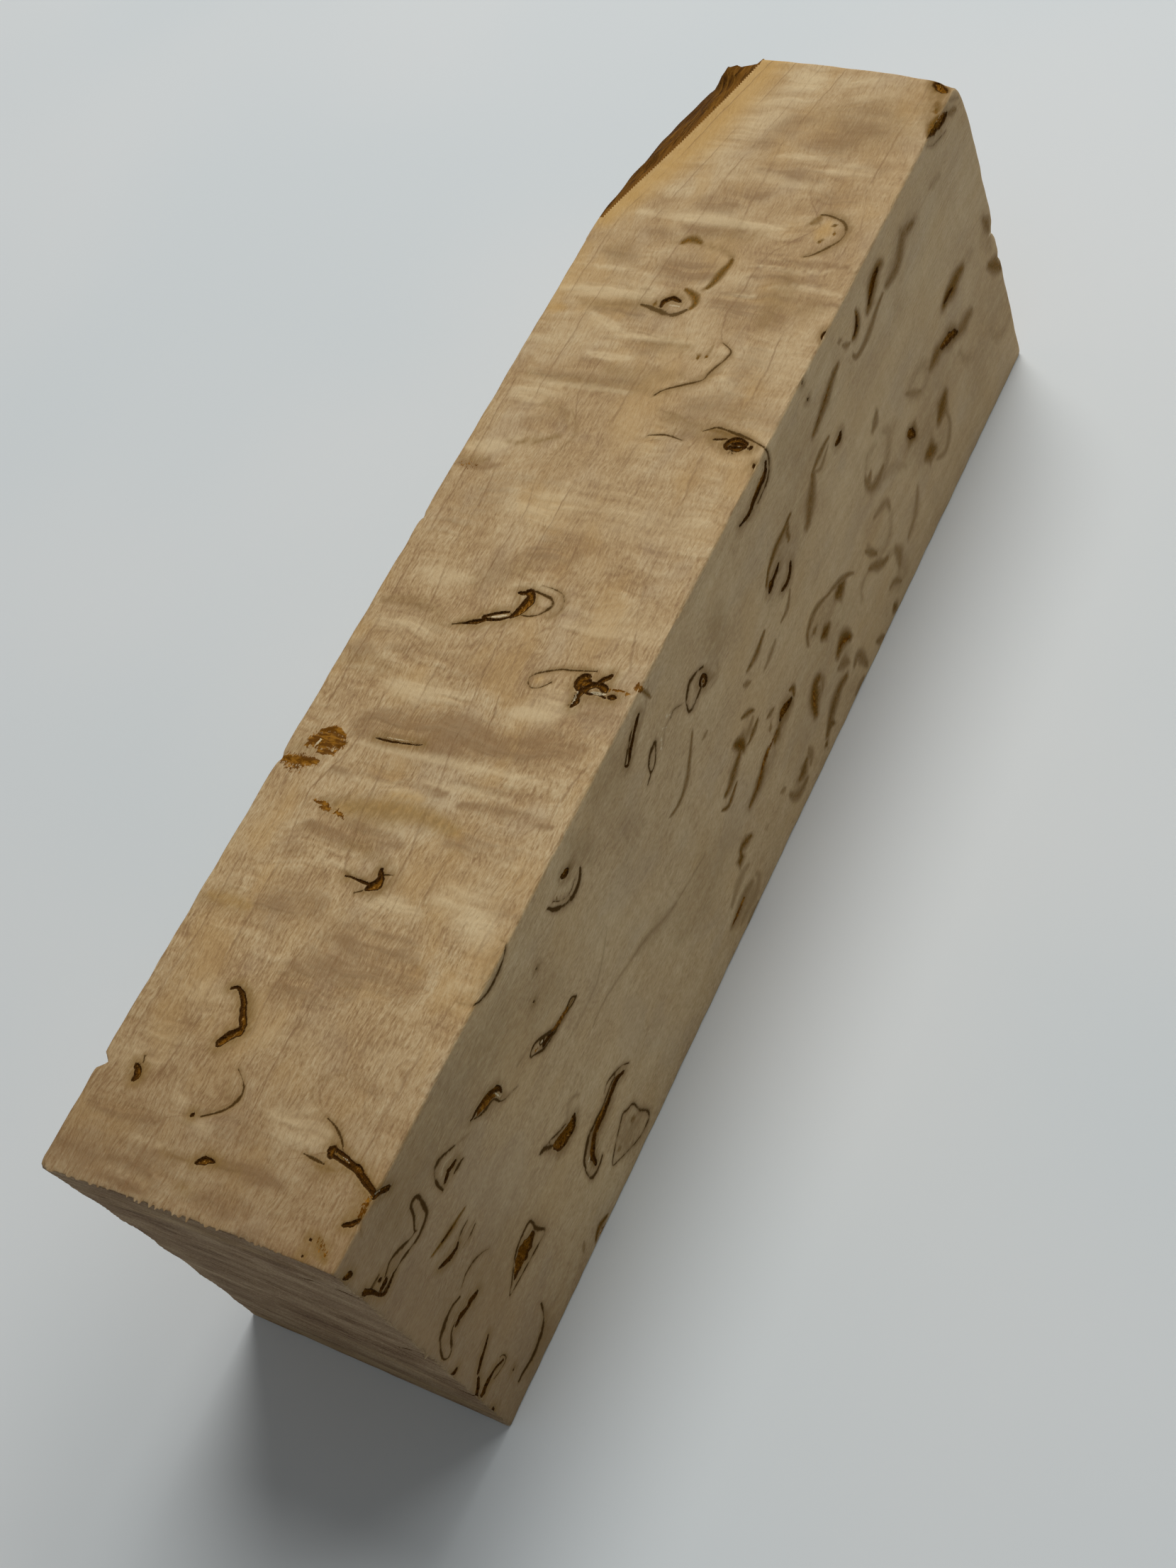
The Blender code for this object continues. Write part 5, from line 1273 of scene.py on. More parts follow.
# Growth rings on the upper face from its left edge to its right edge: each point is X and Y
RINGS = [
    [(-66, 13.6), (-50, 13.4), (-42, 12.8), (-30, 13.2), (-15, 13.4), (0, 13.2), (20, 13.6), (42, 12.8),
     (50, 10.3), (58, 8), (66, 5.6)],
    [(-66, 9.8), (-62, 9.4), (-59.5, 9.8), (-57, 9.2), (-53, 8.5), (-50, 8.3), (-46.8, 8.7), (-40, 9.1),
     (-33, 9.3), (-30, 9.8), (-27, 10.2), (-22, 8.6), (-20, 8.3), (-12, 8.3), (-8, 8.6), (0, 10), (5, 9.9),
     (10, 10.2), (20, 10.6), (30, 10.4), (40, 9.6), (50, 7), (58, 5), (66, 3)],
    [(-66, 6.3), (-62, 6.4), (-58.2, 6.1), (-57.2, 2.9), (-55, 0.6), (-52.9, 1.7), (-50.6, 2.5),
     (-47.5, 2.8), (-44.5, 2.9), (-39, 2.2), (-35.5, 0.9), (-33, 2.8), (-28, 4), (-20, 4.5), (-11.4, 4.8),
     (-7.5, 5), (0, 5), (6, 4.7), (8.8, 5.4), (12, 5.2), (14, 4.5), (16.6, 4.8), (20, 6.2), (30, 5.6),
     (40, 4.6), (50, 3.4), (66, -0.2)],
    [(-66, -1.4), (-60, -1.5), (-57, -1.2), (-53, -0.8), (-49, -0.7), (-45, -1), (-40, -1.2), (-35, -2.6),
     (-30, -2.4), (-24, -1.6), (-16, -0.6), (-8, 0.2), (0, 1.7), (5, 1.6), (10, 1.7), (16, 1.5), (24, 1),
     (40, -0.5), (54, -0.2), (66, -3)],
    [(-66, -5.4), (-60.2, -5.2), (-58.3, -5.8), (-57.2, -8), (-56, -9.8), (-54.2, -8.8), (-53, -6.6),
     (-51, -5.2), (-48.7, -5.3), (-44.5, -5.4), (-40.6, -5.6), (-35.2, -5.9), (-31.4, -5.9), (-28.7, -6.3),
     (-25, -5.6), (-21.4, -4.6), (-19.8, -4.1), (-16.8, -3.1), (-14, -2.7), (-11.4, -2.5), (-8.3, -1.9),
     (-5, -3.9), (-3, -3.9), (-1.6, -2.4), (4, -2.2), (10, -2.3), (15.5, -2.6), (17, -6), (18.5, -6),
     (19.5, -3), (22, -2.4), (24, -5.4), (27.5, -6.8), (29, -5), (32, -4.2), (40, -5.2), (44, -9), (48, -6),
     (66, -7)],
    [(-66, -11.5), (-60, -12), (-56.4, -12.3), (-53.3, -12.5), (-49.5, -12.6), (-46.8, -12.7),
     (-41.4, -13.2), (-35, -12.9), (-24.5, -13.3), (-21.4, -13.3), (-19, -13.7), (-17.5, -14.3),
     (-14, -12.9), (-8, -13.2), (-5, -12.3), (-2.5, -11.3), (0, -10.8), (3, -10.3), (5, -10.5), (7, -10),
     (12, -9.7), (16, -9.4), (20, -11.4), (30, -11), (40, -12.4), (44, -13), (50, -11.6), (66, -12.4)],
]

# How far apart the rings lie beyond the first and the last one
RING_SPACING = 4.5


def ring_value(x, y):
    """Growth rings on the upper face: whole numbers fall on the visible lines."""
    lines = np.array([np.interp(x, *zip(*ring)) for ring in RINGS])
    value = np.full_like(x, 0.5)
    for index in range(len(RINGS) - 1):
        over, under = lines[index], lines[index + 1]
        share = (over - y) / np.maximum(over - under, 0.3)
        value = np.where((y <= over) & (y > under), index + np.clip(share, 0.0, 1.0), value)
    value = np.where(y > lines[0], np.maximum((lines[0] - y) / RING_SPACING, -0.5), value)
    last = len(RINGS) - 1
    return np.where(y <= lines[-1], last + np.minimum((lines[-1] - y) / RING_SPACING, 0.5), value)


# Dents: centre, radius and push, all in millimetres
DENTS = [
    ((-66.0, 15.0, 40.0), 1.2, (0.2, -0.25, -0.25)),
    ((-60.6, -15.0, 40.0), 0.9, (0.0, 0.26, -0.24)),
    ((-57.9, -15.0, 40.0), 0.6, (0.0, 0.14, -0.14)),
    ((64.2, -14.4, 40.0), 1.7, (-0.1, 0.1, -0.4)),
    ((65.8, -15.0, 19.2), 1.5, (-0.6, 0.3, 0.0)),
    ((65.8, -15.0, 15.4), 1.2, (-0.3, 0.2, 0.0)),
    ((-64.8, -15.0, 21.6), 0.7, (0.2, 0.16, 0.0)),
    ((-64.85, -15.0, 20.5), 0.5, (-0.45, 0.04, 0.0)),
    ((-64.7, -15.0, 8.7), 0.6, (0.15, 0.12, 0.0)),
    ((-65.0, -15.0, 34.5), 0.6, (0.14, 0.12, 0.0)),
    ((30.9, -15.0, 40.0), 0.6, (0.0, 0.12, -0.1)),
    ((15.1, -15.0, 40.0), 0.6, (0.0, 0.12, -0.1)),
    ((-24.7, 15.0, 40.0), 0.9, (0.0, -0.2, -0.16)),
    ((3.0, 15.0, 40.0), 0.8, (0.0, -0.18, -0.1)),
    ((-9.4, -15.0, 40.0), 0.8, (0.0, 0.14, -0.12)),
]
NOTCH_X = -55.85
NOTCH_HALF = 0.8
NOTCH_DEPTH = 0.85
NOTCH_FOOT = 37.0

# Which way is in from each face
INWARD = {name: np.array(way, dtype=float) for name, way in (
    ("top", (0, 0, -1)), ("foot", (0, 0, 1)), ("right", (0, 1, 0)),
    ("left", (0, -1, 0)), ("near", (1, 0, 0)), ("far", (-1, 0, 0)),
)}

# Every pair of faces that meet in an arris
ARRISES = [(level, side) for level in ("top", "foot") for side in ("right", "left", "near", "far")]
ARRISES += [(end, side) for end in ("near", "far") for side in ("right", "left")]


def wear_arrises(moved, place, gap):
    """Rounds the arrises unevenly, except along the bark."""
    x, y, z = place.T
    barked = (x > BARK_START_X) & (y > bark_line(np.maximum(x, BARK_START_X)) - ON_EDGE)
    for index, (a, b) in enumerate(ARRISES):
        apart = np.maximum(gap[a], gap[b])
        near = np.nonzero((apart < ARRIS_REACH) & ~(barked & (a == "top")))[0]
        seed = np.full(len(near), 11.0 + 5.3 * index)
        run = x[near] + y[near] + z[near]
        radius = ARRIS_RADIUS * (1.15 + 0.9 * noise_at(run / 2.3, run / 11.0, seed))
        radius = np.clip(radius, 0.16, 0.75)
        sink = 0.2 * radius * np.clip(1.0 - apart[near] / radius, 0.0, 1.0) ** 2
        moved[near] += sink[:, None] * (INWARD[a] + INWARD[b])


def push_dents(moved, place):
    """Chips and dents."""
    for centre, radius, push in DENTS:
        far = np.linalg.norm(place - np.array(centre), axis=1) / radius
        near = np.nonzero(far < 1.0)[0]
        rough = 1.0 + 0.45 * noise_at(*(place[near] * 1.7).T)
        moved[near] += ((1.0 - far[near]) ** 2 * rough)[:, None] * np.array(push)


def cut_notch(moved, place, gap):
    """The notch in the left edge of the upper face."""
    tent = np.clip(1.0 - np.abs(place[:, 0] - NOTCH_X) / NOTCH_HALF, 0.0, 1.0)
    fade = smooth_step(NOTCH_FOOT, HEIGHT, place[:, 2])
    close = np.clip(1.0 - gap["left"] / 2.1, 0.0, 1.0) ** 2
    moved[:, 1] -= NOTCH_DEPTH * tent * fade * close


def fray_edges(moved, place, gap):
    """Ragged fibres along the near edges of the upper face and the right side."""
    _, y, z = place.T
    apart = np.maximum(gap["top"], gap["near"])
    lip = np.nonzero(apart < LIP_REACH)[0]
    tuft = np.clip(2.4 * noise_at(y[lip] / 0.38, z[lip] / 3.0, np.full(len(lip), 31.0)), 0.0, 1.0) ** 1.5
    middle = 0.3 + 0.7 * np.exp(-((y[lip] - 0.5) / 6.0) ** 2)
    moved[lip, 0] -= TUFT_LENGTH * tuft * middle * (1.0 - apart[lip] / LIP_REACH)
    apart = np.maximum(gap["right"], gap["near"])
    seam = np.nonzero(apart < LIP_REACH)[0]
    hair = np.clip(2.0 * noise_at(z[seam] / 0.42, y[seam] / 3.0, np.full(len(seam), 17.0)), -0.3, 1.0)
    moved[seam, 0] -= HAIR_LENGTH * hair * (1.0 - apart[seam] / LIP_REACH)


def roughen_faces(moved, place, gap, touches):
    """Saw streaks across the near end, and slow waves on the two sanded faces."""
    x, y, z = place.T
    streak = np.nonzero(touches["near"] & (gap["near"] < ON_EDGE))[0]
    ripple = noise_at(y[streak] / 9.0, z[streak] / 0.9, np.full(len(streak), 3.3))
    inner = np.minimum(1.0, np.minimum(gap["top"], gap["foot"])[streak])
    moved[streak, 0] += SAW_STREAK * (1.0 + ripple) * inner
    for name in ("top", "right"):
        flat = np.nonzero(touches[name])[0]
        wave = noise_at(x[flat] / 7.0, y[flat] / 5.0, z[flat] / 5.0)
        inner = np.minimum(1.0, np.minimum(gap["near"], gap["far"])[flat] / 2.0)
        moved[flat] += (FACE_WAVE * (1.0 + wave) * inner)[:, None] * INWARD[name]


def shaped(place, touches, depth):
    """Moves points from the plain sawn block to its finished surface.

    `touches` says which faces each point lies on, and `depth` how far it sinks below each of them.
    """
    x, y, z = place.T
    moved = place.copy()
    gap = {
        "top": HEIGHT - z, "foot": z, "right": y + SIDE_Y, "left": SIDE_Y - y,
        "near": x - near_cut(y, z), "far": far_cut(y, z) - x,
    }
    wear_arrises(moved, place, gap)
    push_dents(moved, place)
    cut_notch(moved, place, gap)
    fray_edges(moved, place, gap)
    roughen_faces(moved, place, gap, touches)
    for name, sunk in depth.items():
        moved += sunk[:, None] * INWARD[name]
    # Bark corner: every level above the foot is lowered in the same share
    low = np.nonzero((x > BARK_START_X) & (y > bark_line(np.maximum(x, BARK_START_X))))[0]
    moved[low, 2] *= bark_height(x[low], y[low]) / HEIGHT
    moved[:, 0] = np.minimum(moved[:, 0], FAR_LIMIT)
    return moved


def sewn():
    """The six faces as one surface: its points, its triangles and the face that each of these is on."""
    places, triangles, owners = [], [], []
    start = 0
    for index, face in enumerate(FACES):
        spots, cells = fill(face)
        places.append(spots)
        triangles.append(cells + start)
        owners.append(np.full(len(cells), index))
        start += len(spots)
    place = np.concatenate(places)
    cells = np.concatenate(triangles)
    owner = np.concatenate(owners)
    # Points shared by two faces become one
    keys = np.round(place / SAME_POINT).astype(np.int64)
    _, first, same = np.unique(keys, axis=0, return_index=True, return_inverse=True)
    cells = same.reshape(-1)[cells]
    whole = (cells[:, 0] != cells[:, 1]) & (cells[:, 1] != cells[:, 2]) & (cells[:, 0] != cells[:, 2])
    return place[first], cells[whole], owner[whole]


def all_marks(place, touches):
    """The marks of every face as values per point, the distance to bark, and the depth below each face."""
    x, y, z = place.T
    fields = {name: np.zeros(len(place)) for name in FIELDS}
    edge = np.full(len(place), NO_MARK)
    depth = {}
    for face in FACES:
        on = np.nonzero(touches[face.name])[0]
        u, v = {"top": (x, y), "foot": (x, y), "right": (x, z), "left": (x, z)}.get(face.name, (y, z))
        found, bark_edge, sunk = painted(np.stack([u[on], v[on]], axis=1), face.marks)
        for name in FIELDS:
            fields[name][on] = np.maximum(fields[name][on], found[name])
        edge[on] = np.minimum(edge[on], bark_edge)
        depth[face.name] = np.zeros(len(place))
        depth[face.name][on] = sunk
    return fields, edge, depth


def material_of(owner, middle):
    """Which material each triangle has: 0 is wood, 1 end grain and 2 bark."""
    ends = [index for index, face in enumerate(FACES) if face.name in ("near", "far")]
    kinds = np.zeros(len(owner), dtype=np.int32)
    kinds[np.isin(owner, ends)] = 1
    on_bark = (owner == 0) & (middle[:, 0] > BARK_ROWS_X[0])
    on_bark &= middle[:, 1] > bark_line(np.maximum(middle[:, 0], BARK_START_X)) - 0.01
    kinds[on_bark] = 2
    return kinds


def block():
    """The finished block as one mesh."""
    place, cells, owner = sewn()
    x, y, _ = place.T
    touches = {}
    for index, face in enumerate(FACES):
        touches[face.name] = np.zeros(len(place), dtype=bool)
        touches[face.name][cells[owner == index].ravel()] = True
    fields, edge, depth = all_marks(place, touches)
    ring = np.full(len(place), 0.5)
    upper = touches["top"]
    ring[upper] = ring_value(x[upper], y[upper])
    out = np.where(x > BARK_START_X, y - bark_line(np.maximum(x, BARK_START_X)), NO_BARK)
    mesh = bpy.data.meshes.new("masur_birch_surface")
    mesh.from_pydata((shaped(place, touches, depth) * MM).tolist(), [], cells.tolist())
    for material in (wood(), end_grain(), rind()):
        mesh.materials.append(material)
    mesh.polygons.foreach_set("material_index", material_of(owner, place[cells].mean(axis=1)))
    mesh.polygons.foreach_set("use_smooth", np.ones(len(cells), dtype=bool))
    for name, values in [*fields.items(), ("bark", edge), ("ring", ring), ("rind", out)]:
        layer = mesh.attributes.new(name, "FLOAT", "POINT")
        layer.data.foreach_set("value", values.astype(np.float32))
    mesh.validate()
    mesh.update()
    mesh.set_sharp_from_angle(angle=math.radians(SHARP_ANGLE))
    return linked("masur_birch", mesh)


def linked(name, data):
    """A new object in the scene."""
    made = bpy.data.objects.new(name, data)
    bpy.context.scene.collection.objects.link(made)
    return made


# Finishes

def srgb(red, green, blue):
    """A colour given as 0 to 255 on a screen, as the renderer's linear values."""
    def one(value):
        value /= 255.0
        return value / 12.92 if value <= 0.04045 else ((value + 0.055) / 1.055) ** 2.4
    return (one(red), one(green), one(blue), 1.0)


class Wire:
    """A node's output, which can be added, subtracted and multiplied like a number."""

    def __init__(self, nodes, socket):
        self.nodes = nodes
        self.socket = socket

    def __add__(self, other):
        return self.nodes.math("ADD", self, other)

    def __radd__(self, other):
        return self.nodes.math("ADD", other, self)

    def __sub__(self, other):
        return self.nodes.math("SUBTRACT", self, other)

    def __rsub__(self, other):
        return self.nodes.math("SUBTRACT", other, self)

    def __mul__(self, other):
        return self.nodes.math("MULTIPLY", self, other)


class Nodes:
    """Writes a material's node tree from plain calls."""

    def __init__(self, name):
        self.material = bpy.data.materials.new(name)
        self.material.use_nodes = True
        self.tree = self.material.node_tree
        self.tree.nodes.clear()
        self.output = self.tree.nodes.new("ShaderNodeOutputMaterial")

    def node(self, kind, inputs, **settings):
        """A node, with each input linked to a wire or set to a value. Returns its outputs as wires."""
        made = self.tree.nodes.new(kind)
        for name, value in settings.items():
            setattr(made, name, value)
        for key, value in inputs.items():
            if isinstance(value, Wire):
                self.tree.links.new(value.socket, made.inputs[key])
            else:
                made.inputs[key].default_value = value
        return [Wire(self, socket) for socket in made.outputs]

    def math(self, operation, *values):
        """A sum on numbers."""
        return self.node("ShaderNodeMath", dict(enumerate(values)), operation=operation)[0]

    def larger(self, a, b):
        """The larger of two numbers."""
        return self.math("MAXIMUM", a, b)

    def step(self, low, high, value, start=0.0, end=1.0):
        """Goes smoothly from `start` to `end` as value goes from low to high."""
        inputs = {0: value, 1: low, 2: high, 3: start, 4: end}
        return self.node("ShaderNodeMapRange", inputs, interpolation_type="SMOOTHSTEP")[0]

    def ragged(self, value, unevenness, limits, kept):
        """Where an uneven value passes its limits, kept to where the even one passes limits of its own."""
        return self.step(*limits, value + unevenness) * self.step(*kept, value)

    def mix(self, share, a, b):
        """Colour a, with this share of colour b over it."""
        return self.node("ShaderNodeMix", {0: share, 6: a, 7: b}, data_type="RGBA")[2]

    def attribute(self, name):
        """A value kept on the mesh."""
        return self.node("ShaderNodeAttribute", {}, attribute_name=name)[2]

    def vector(self, operation, *values, scale=None):
        """A sum on vectors."""
        inputs = dict(enumerate(values))
        if scale is not None:
            inputs["Scale"] = scale
        return self.node("ShaderNodeVectorMath", inputs, operation=operation)[0]

    def place(self):
        """The point in the block's frame, in millimetres."""
        return self.vector("SCALE", self.node("ShaderNodeTexCoord", {})[3], scale=1000.0)

    def axes(self, vector):
        """The three coordinates of a vector."""
        return self.node("ShaderNodeSeparateXYZ", {0: vector})

    def stretched(self, vector, lengths, shift=0.0):
        """The vector divided by a length along each axis, then shifted so that two noises differ."""
        divided = self.vector("MULTIPLY", vector, tuple(1 / length for length in lengths))
        return self.vector("ADD", divided, (shift, shift * 0.7, shift * 1.3))

    def noise(self, vector, lengths, shift=0.0, detail=2.0, roughness=0.5):
        """Noise from 0 to 1, whose patches have about these lengths along X, Y and Z."""
        spread = self.stretched(vector, lengths, shift)
        inputs = {"Vector": spread, "Scale": 1.0, "Detail": detail, "Roughness": roughness}
        return self.node("ShaderNodeTexNoise", inputs)[0]

    def warped(self, vector, length, amount):
        """The vector pushed about by slow noise."""
        slow = {"Vector": self.stretched(vector, (length,) * 3), "Scale": 1.0, "Detail": 1.0}
        drift = self.node("ShaderNodeTexNoise", slow)[1]
        centred = self.vector("SUBTRACT", drift, (0.5, 0.5, 0.5))
        return self.vector("ADD", vector, self.vector("SCALE", centred, scale=amount))

    def ramp(self, value, *stops):
        """A colour scale: stops are (position, colour)."""
        colour, _ = self.node("ShaderNodeValToRGB", {0: value})
        scale = colour.socket.node.color_ramp
        while len(scale.elements) < len(stops):
            scale.elements.new(0.5)
        for element, (position, shown) in zip(scale.elements, stops):
            element.position = position
            element.color = shown
        return colour

    def finish(self, colour, height, roughness, specular=0.25):
        """Matt surface with relief; height is in millimetres."""
        bump = self.node("ShaderNodeBump", {"Strength": 1.0, "Distance": MM, "Height": height})[0]
        surface = self.node("ShaderNodeBsdfPrincipled", {
            "Base Color": colour, "Roughness": roughness, "Specular IOR Level": specular, "Normal": bump,
        })[0]
        self.tree.links.new(surface.socket, self.output.inputs[0])
        return self.material


# Colours of the wood in even white light
CURL_DARK = srgb(164, 129, 86)
CURL_TAN = srgb(190, 157, 110)
CURL_CREAM = srgb(206, 176, 130)
CURL_LIGHT = srgb(224, 199, 154)
BAND_BROWN = srgb(146, 110, 66)
CLOUD_YELLOW = srgb(204, 164, 102)
CLOUD_GREY = srgb(184, 164, 138)
# Painted shade: the grey mixed into the sides, as a side in shade looks
SIDE_SHADE_GREY = srgb(170, 153, 118)
# Painted shade in part: the brown of the darkening towards the near end
BROWNING_AND_SHADE = srgb(120, 90, 56)
SAPWOOD = srgb(206, 162, 86)
FLECK_DARK = srgb(88, 55, 17)
FLECK_BLACK = srgb(44, 23, 6)
CRUMB = srgb(138, 90, 22)
CRUMB_LIGHT = srgb(184, 140, 74)
RUST_DARK = srgb(102, 60, 6)
RUST_LIGHT = srgb(160, 108, 32)
LINE_BROWN = srgb(76, 52, 20)
LINE_HALO = srgb(144, 112, 64)
STAIN_BROWN = srgb(102, 73, 22)
HAZE_BROWN = srgb(142, 110, 58)
HALO = srgb(138, 105, 50)
PALE_WOOD = srgb(222, 204, 166)
RING_BROWN = srgb(136, 100, 60)
END_DARK = srgb(112, 86, 62)
END_MIDDLE = srgb(158, 130, 99)
END_LIGHT = srgb(196, 170, 136)
RIND_SCALE = (
    (0.34, srgb(70, 42, 12)), (0.46, srgb(98, 62, 18)),
    (0.56, srgb(120, 80, 26)), (0.68, srgb(146, 102, 42)),
)
RIND_OLD = srgb(78, 48, 18)
RIND_FRESH = srgb(146, 100, 42)
FLOOR_BLUE = srgb(223, 229, 231)
FLOOR_PALE = srgb(227, 231, 232)


class Wood(Nodes):
    """The long grain, with the patterns and the mesh values that its layers share."""

    def __init__(self):
        super().__init__("masur_birch")
        spot = self.spot = self.place()
        self.along, _, level = self.axes(spot)
        self.upper = self.step(39.6, 39.9, level)
        self.bent = self.warped(self.warped(spot, 6.0, 1.1), 1.6, 0.2)
        self.fibres = self.noise(self.bent, (1.3, 0.17, 0.17), detail=3.0, roughness=0.6)
        self.pebbles = self.noise(self.bent, (0.5, 0.26, 0.26), shift=21.0, roughness=0.6)
        self.cloudy = self.noise(self.bent, (1.1, 0.45, 0.45), shift=12.0, detail=3.0, roughness=0.6)
        self.mottle = self.noise(self.warped(spot, 5.0, 2.0), (5.0, 4.0, 4.0), shift=6.0, detail=3.0)
        self.broad = self.noise(spot, (17.0, 19.0, 19.0), shift=9.0)
        self.grain = self.noise(spot, (0.34, 0.15, 0.15), shift=40.0, detail=3.0, roughness=0.65)
        self.crumbs = self.noise(spot, (0.3, 0.17, 0.17), shift=50.0, roughness=0.6)
        self.dark_band = self.attribute("shade")
        self.light_band = self.attribute("glow")
        self.edge = self.attribute("bark")
        # Ripples of the curl: strokes across the grain, strongest in patches
        rippling = self.warped(self.warped(spot, 6.0, 2.6), 1.8, 0.35)
        self.ripples = self.noise(rippling, (0.85, 5.5, 5.5), shift=17.0, detail=1.5) - 0.5
        patches = self.step(0.46, 0.62, self.noise(spot, (9.0, 7.0, 7.0), shift=25.0, detail=1.0))
        banded = (self.dark_band + self.light_band * 0.5) * 0.35
        self.rippled = (0.1 + patches * 0.22 + banded) * self.either(0.2, 1.0)
        # The fine grain is plainer towards the far end
        self.plain = self.step(-25.0, 40.0, self.along, 1.0, 0.55)
        # The near end and the upper face are browner
        # Browner and darker towards the near end, a little towards the far end on the sides, and a little
        # all over the upper face; towards the near end this is partly painted shade, standing in for the
        # light falling off there
        end_darkening = self.step(-40.0, -66.0, self.along) * self.either(0.58, 0.4)
        end_darkening = end_darkening + self.step(5.0, 60.0, self.along) * self.either(0.09, 0.02)
        self.shade_and_browning = end_darkening + self.upper * 0.14

    def either(self, side, top):
        """One value on the sides and another on the upper face."""
        return self.step(0.0, 1.0, self.upper, side, top)


def curl(n):
    """Colour of the plain wood: its curl, yellow and grey clouds, short fibres, a painted shade grey on the
    sides, and its darkening towards the near end, partly painted shade.
    """
    silk = n.noise(n.warped(n.spot, 9.0, 2.6), (11.0, 1.3, 1.1), shift=45.0)
    waves = n.noise(n.warped(n.spot, 7.0, 3.0), (3.2, 8.0, 8.0), shift=2.0)
    lively = n.either(0.55, 1.0)
    tone = (waves - 0.5) * 0.2 + (n.mottle - 0.5) * 0.2 + (n.broad - 0.5) * 0.2
    tone = tone + n.ripples * n.rippled
    tone = tone * lively + n.either(0.515, 0.5)
    tone = tone + (silk - 0.5) * n.either(0.18, 0.1)
    tone = tone + (n.fibres - 0.5) * n.plain * n.either(0.22, 0.42)
    tone = tone + (n.pebbles - 0.5) * n.plain * 0.36
    colour = n.ramp(tone, (0.36, CURL_DARK), (0.46, CURL_TAN), (0.54, CURL_CREAM), (0.66, CURL_LIGHT))
    yellow = n.noise(n.warped(n.spot, 6.0, 3.0), (9.0, 6.0, 6.0), shift=61.0)
    colour = n.mix(n.step(0.5, 0.68, yellow, 0.0, 0.42) * lively, colour, CLOUD_YELLOW)
    colour = n.mix(n.step(0.46, 0.32, yellow, 0.0, 0.2), colour, CLOUD_GREY)
    fibrous = n.either(0.5, 1.0) * n.plain
    colour = n.mix(n.step(0.56, 0.72, n.fibres, 0.0, 0.25) * fibrous, colour, CURL_LIGHT)
    colour = n.mix(n.step(0.44, 0.3, n.fibres, 0.0, 0.35) * fibrous, colour, BAND_BROWN)
    # Painted shade: the sides are greyed a little
    colour = n.mix(n.either(0.16, 0.0), colour, SIDE_SHADE_GREY)
    # Darker and browner towards the near end, partly painted shade
    return n.mix(n.shade_and_browning, colour, BROWNING_AND_SHADE)


def bands(n, colour):
    """Dark and light bands of the curl, with edges broken by the grain, then sapwood and yellow stains."""
    hatch = n.noise(n.bent, (1.6, 0.14, 0.14), shift=14.0, roughness=0.6) - 0.5
    ragged = hatch * 1.6 + (n.ripples * 3.4 + (n.mottle - 0.5) * 2.4)
    band = n.step(0.0, 1.0, n.dark_band * (1.0 + ragged))
    colour = n.mix(band * 0.76, colour, n.mix(n.shade_and_browning * 1.1, BAND_BROWN, BROWNING_AND_SHADE))
    light = n.step(0.08, 0.9, n.light_band * (1.0 + n.ripples * 1.6))
    colour = n.mix(light * 0.55, colour, CURL_LIGHT)
    return n.mix(n.attribute("gold") * 0.82, colour, SAPWOOD)


def year_rings(n, colour):
    """Thin broken golden-brown lines, fainter ones between them, and a soft dark side to each."""
    wobble = (n.noise(n.spot, (3.4, 3.4, 3.4), shift=3.0, detail=3.0, roughness=0.65) - 0.5) * 0.16
    ring = n.attribute("ring") + wobble + 20.0
    thin = n.step(0.032, 0.006, n.math("PINGPONG", ring, 0.5))
    gaps = n.step(0.4, 0.58, n.noise(n.spot, (7.0, 3.0, 3.0), shift=30.0, roughness=0.6), 0.15, 1.0)
    colour = n.mix(thin * gaps * 0.42, colour, RING_BROWN)
    between = n.math("PINGPONG", ring * 3.0 + wobble * 3.0, 0.5)
    faint_gaps = n.step(0.45, 0.6, n.noise(n.spot, (5.0, 2.2, 2.2), shift=90.0, roughness=0.6))
    faint = n.step(0.09, 0.02, between) * (faint_gaps * n.upper)
    colour = n.mix(faint * n.plain * 0.26, colour, RING_BROWN)
    late = n.step(0.26, 0.0, n.math("FRACT", ring)) * (gaps * n.upper)
    return n.mix(late * 0.1, colour, RING_BROWN)


def halos(n, colour):
    """Brown clouds, and a soft halo round every pocket."""
    hazy = n.attribute("haze") * n.either(1.5, 1.0)
    colour = n.mix(hazy * n.step(0.3, 0.62, n.cloudy, 0.5, 1.0), colour, HAZE_BROWN)
    halo = n.step(1.15, 0.0, n.edge) * n.step(0.28, 0.62, n.cloudy, 0.45, 1.0)
    return n.mix(halo * 0.8, colour, HALO)


def stains(n, colour):
    """Soft brown marks: the colour, and where they are dark."""
    value = n.attribute("stain")
    colour = n.mix(n.step(0.02, 0.5, value, 0.0, 0.7), colour, HALO)
    blur = n.step(-20.0, 40.0, n.along)
    limits = (0.38 - blur * 0.12, 0.82 + blur * 0.2)
    core = n.ragged(value, (n.grain - 0.5) * 0.5, limits, (0.1, 0.4))
    return n.mix(core * 0.95, colour, n.mix(n.step(0.5, 0.64, n.crumbs), STAIN_BROWN, CRUMB)), core


def outlines(n, colour):
    """Thin brown lines: the colour, and where they are."""
    patchy = n.step(0.3, 0.6, n.noise(n.spot, (1.7, 1.7, 1.7), shift=71.0), 0.84, 1.12)
    value = n.attribute("line") * patchy
    colour = n.mix(n.step(0.02, 0.75, value, 0.0, 0.65), colour, LINE_HALO)
    lined = n.ragged(value, (n.grain - 0.5) * 0.4, (0.6, 0.88), (0.2, 0.5))
    return n.mix(lined * n.step(0.0, 45.0, n.along, 0.95, 0.7), colour, LINE_BROWN), lined


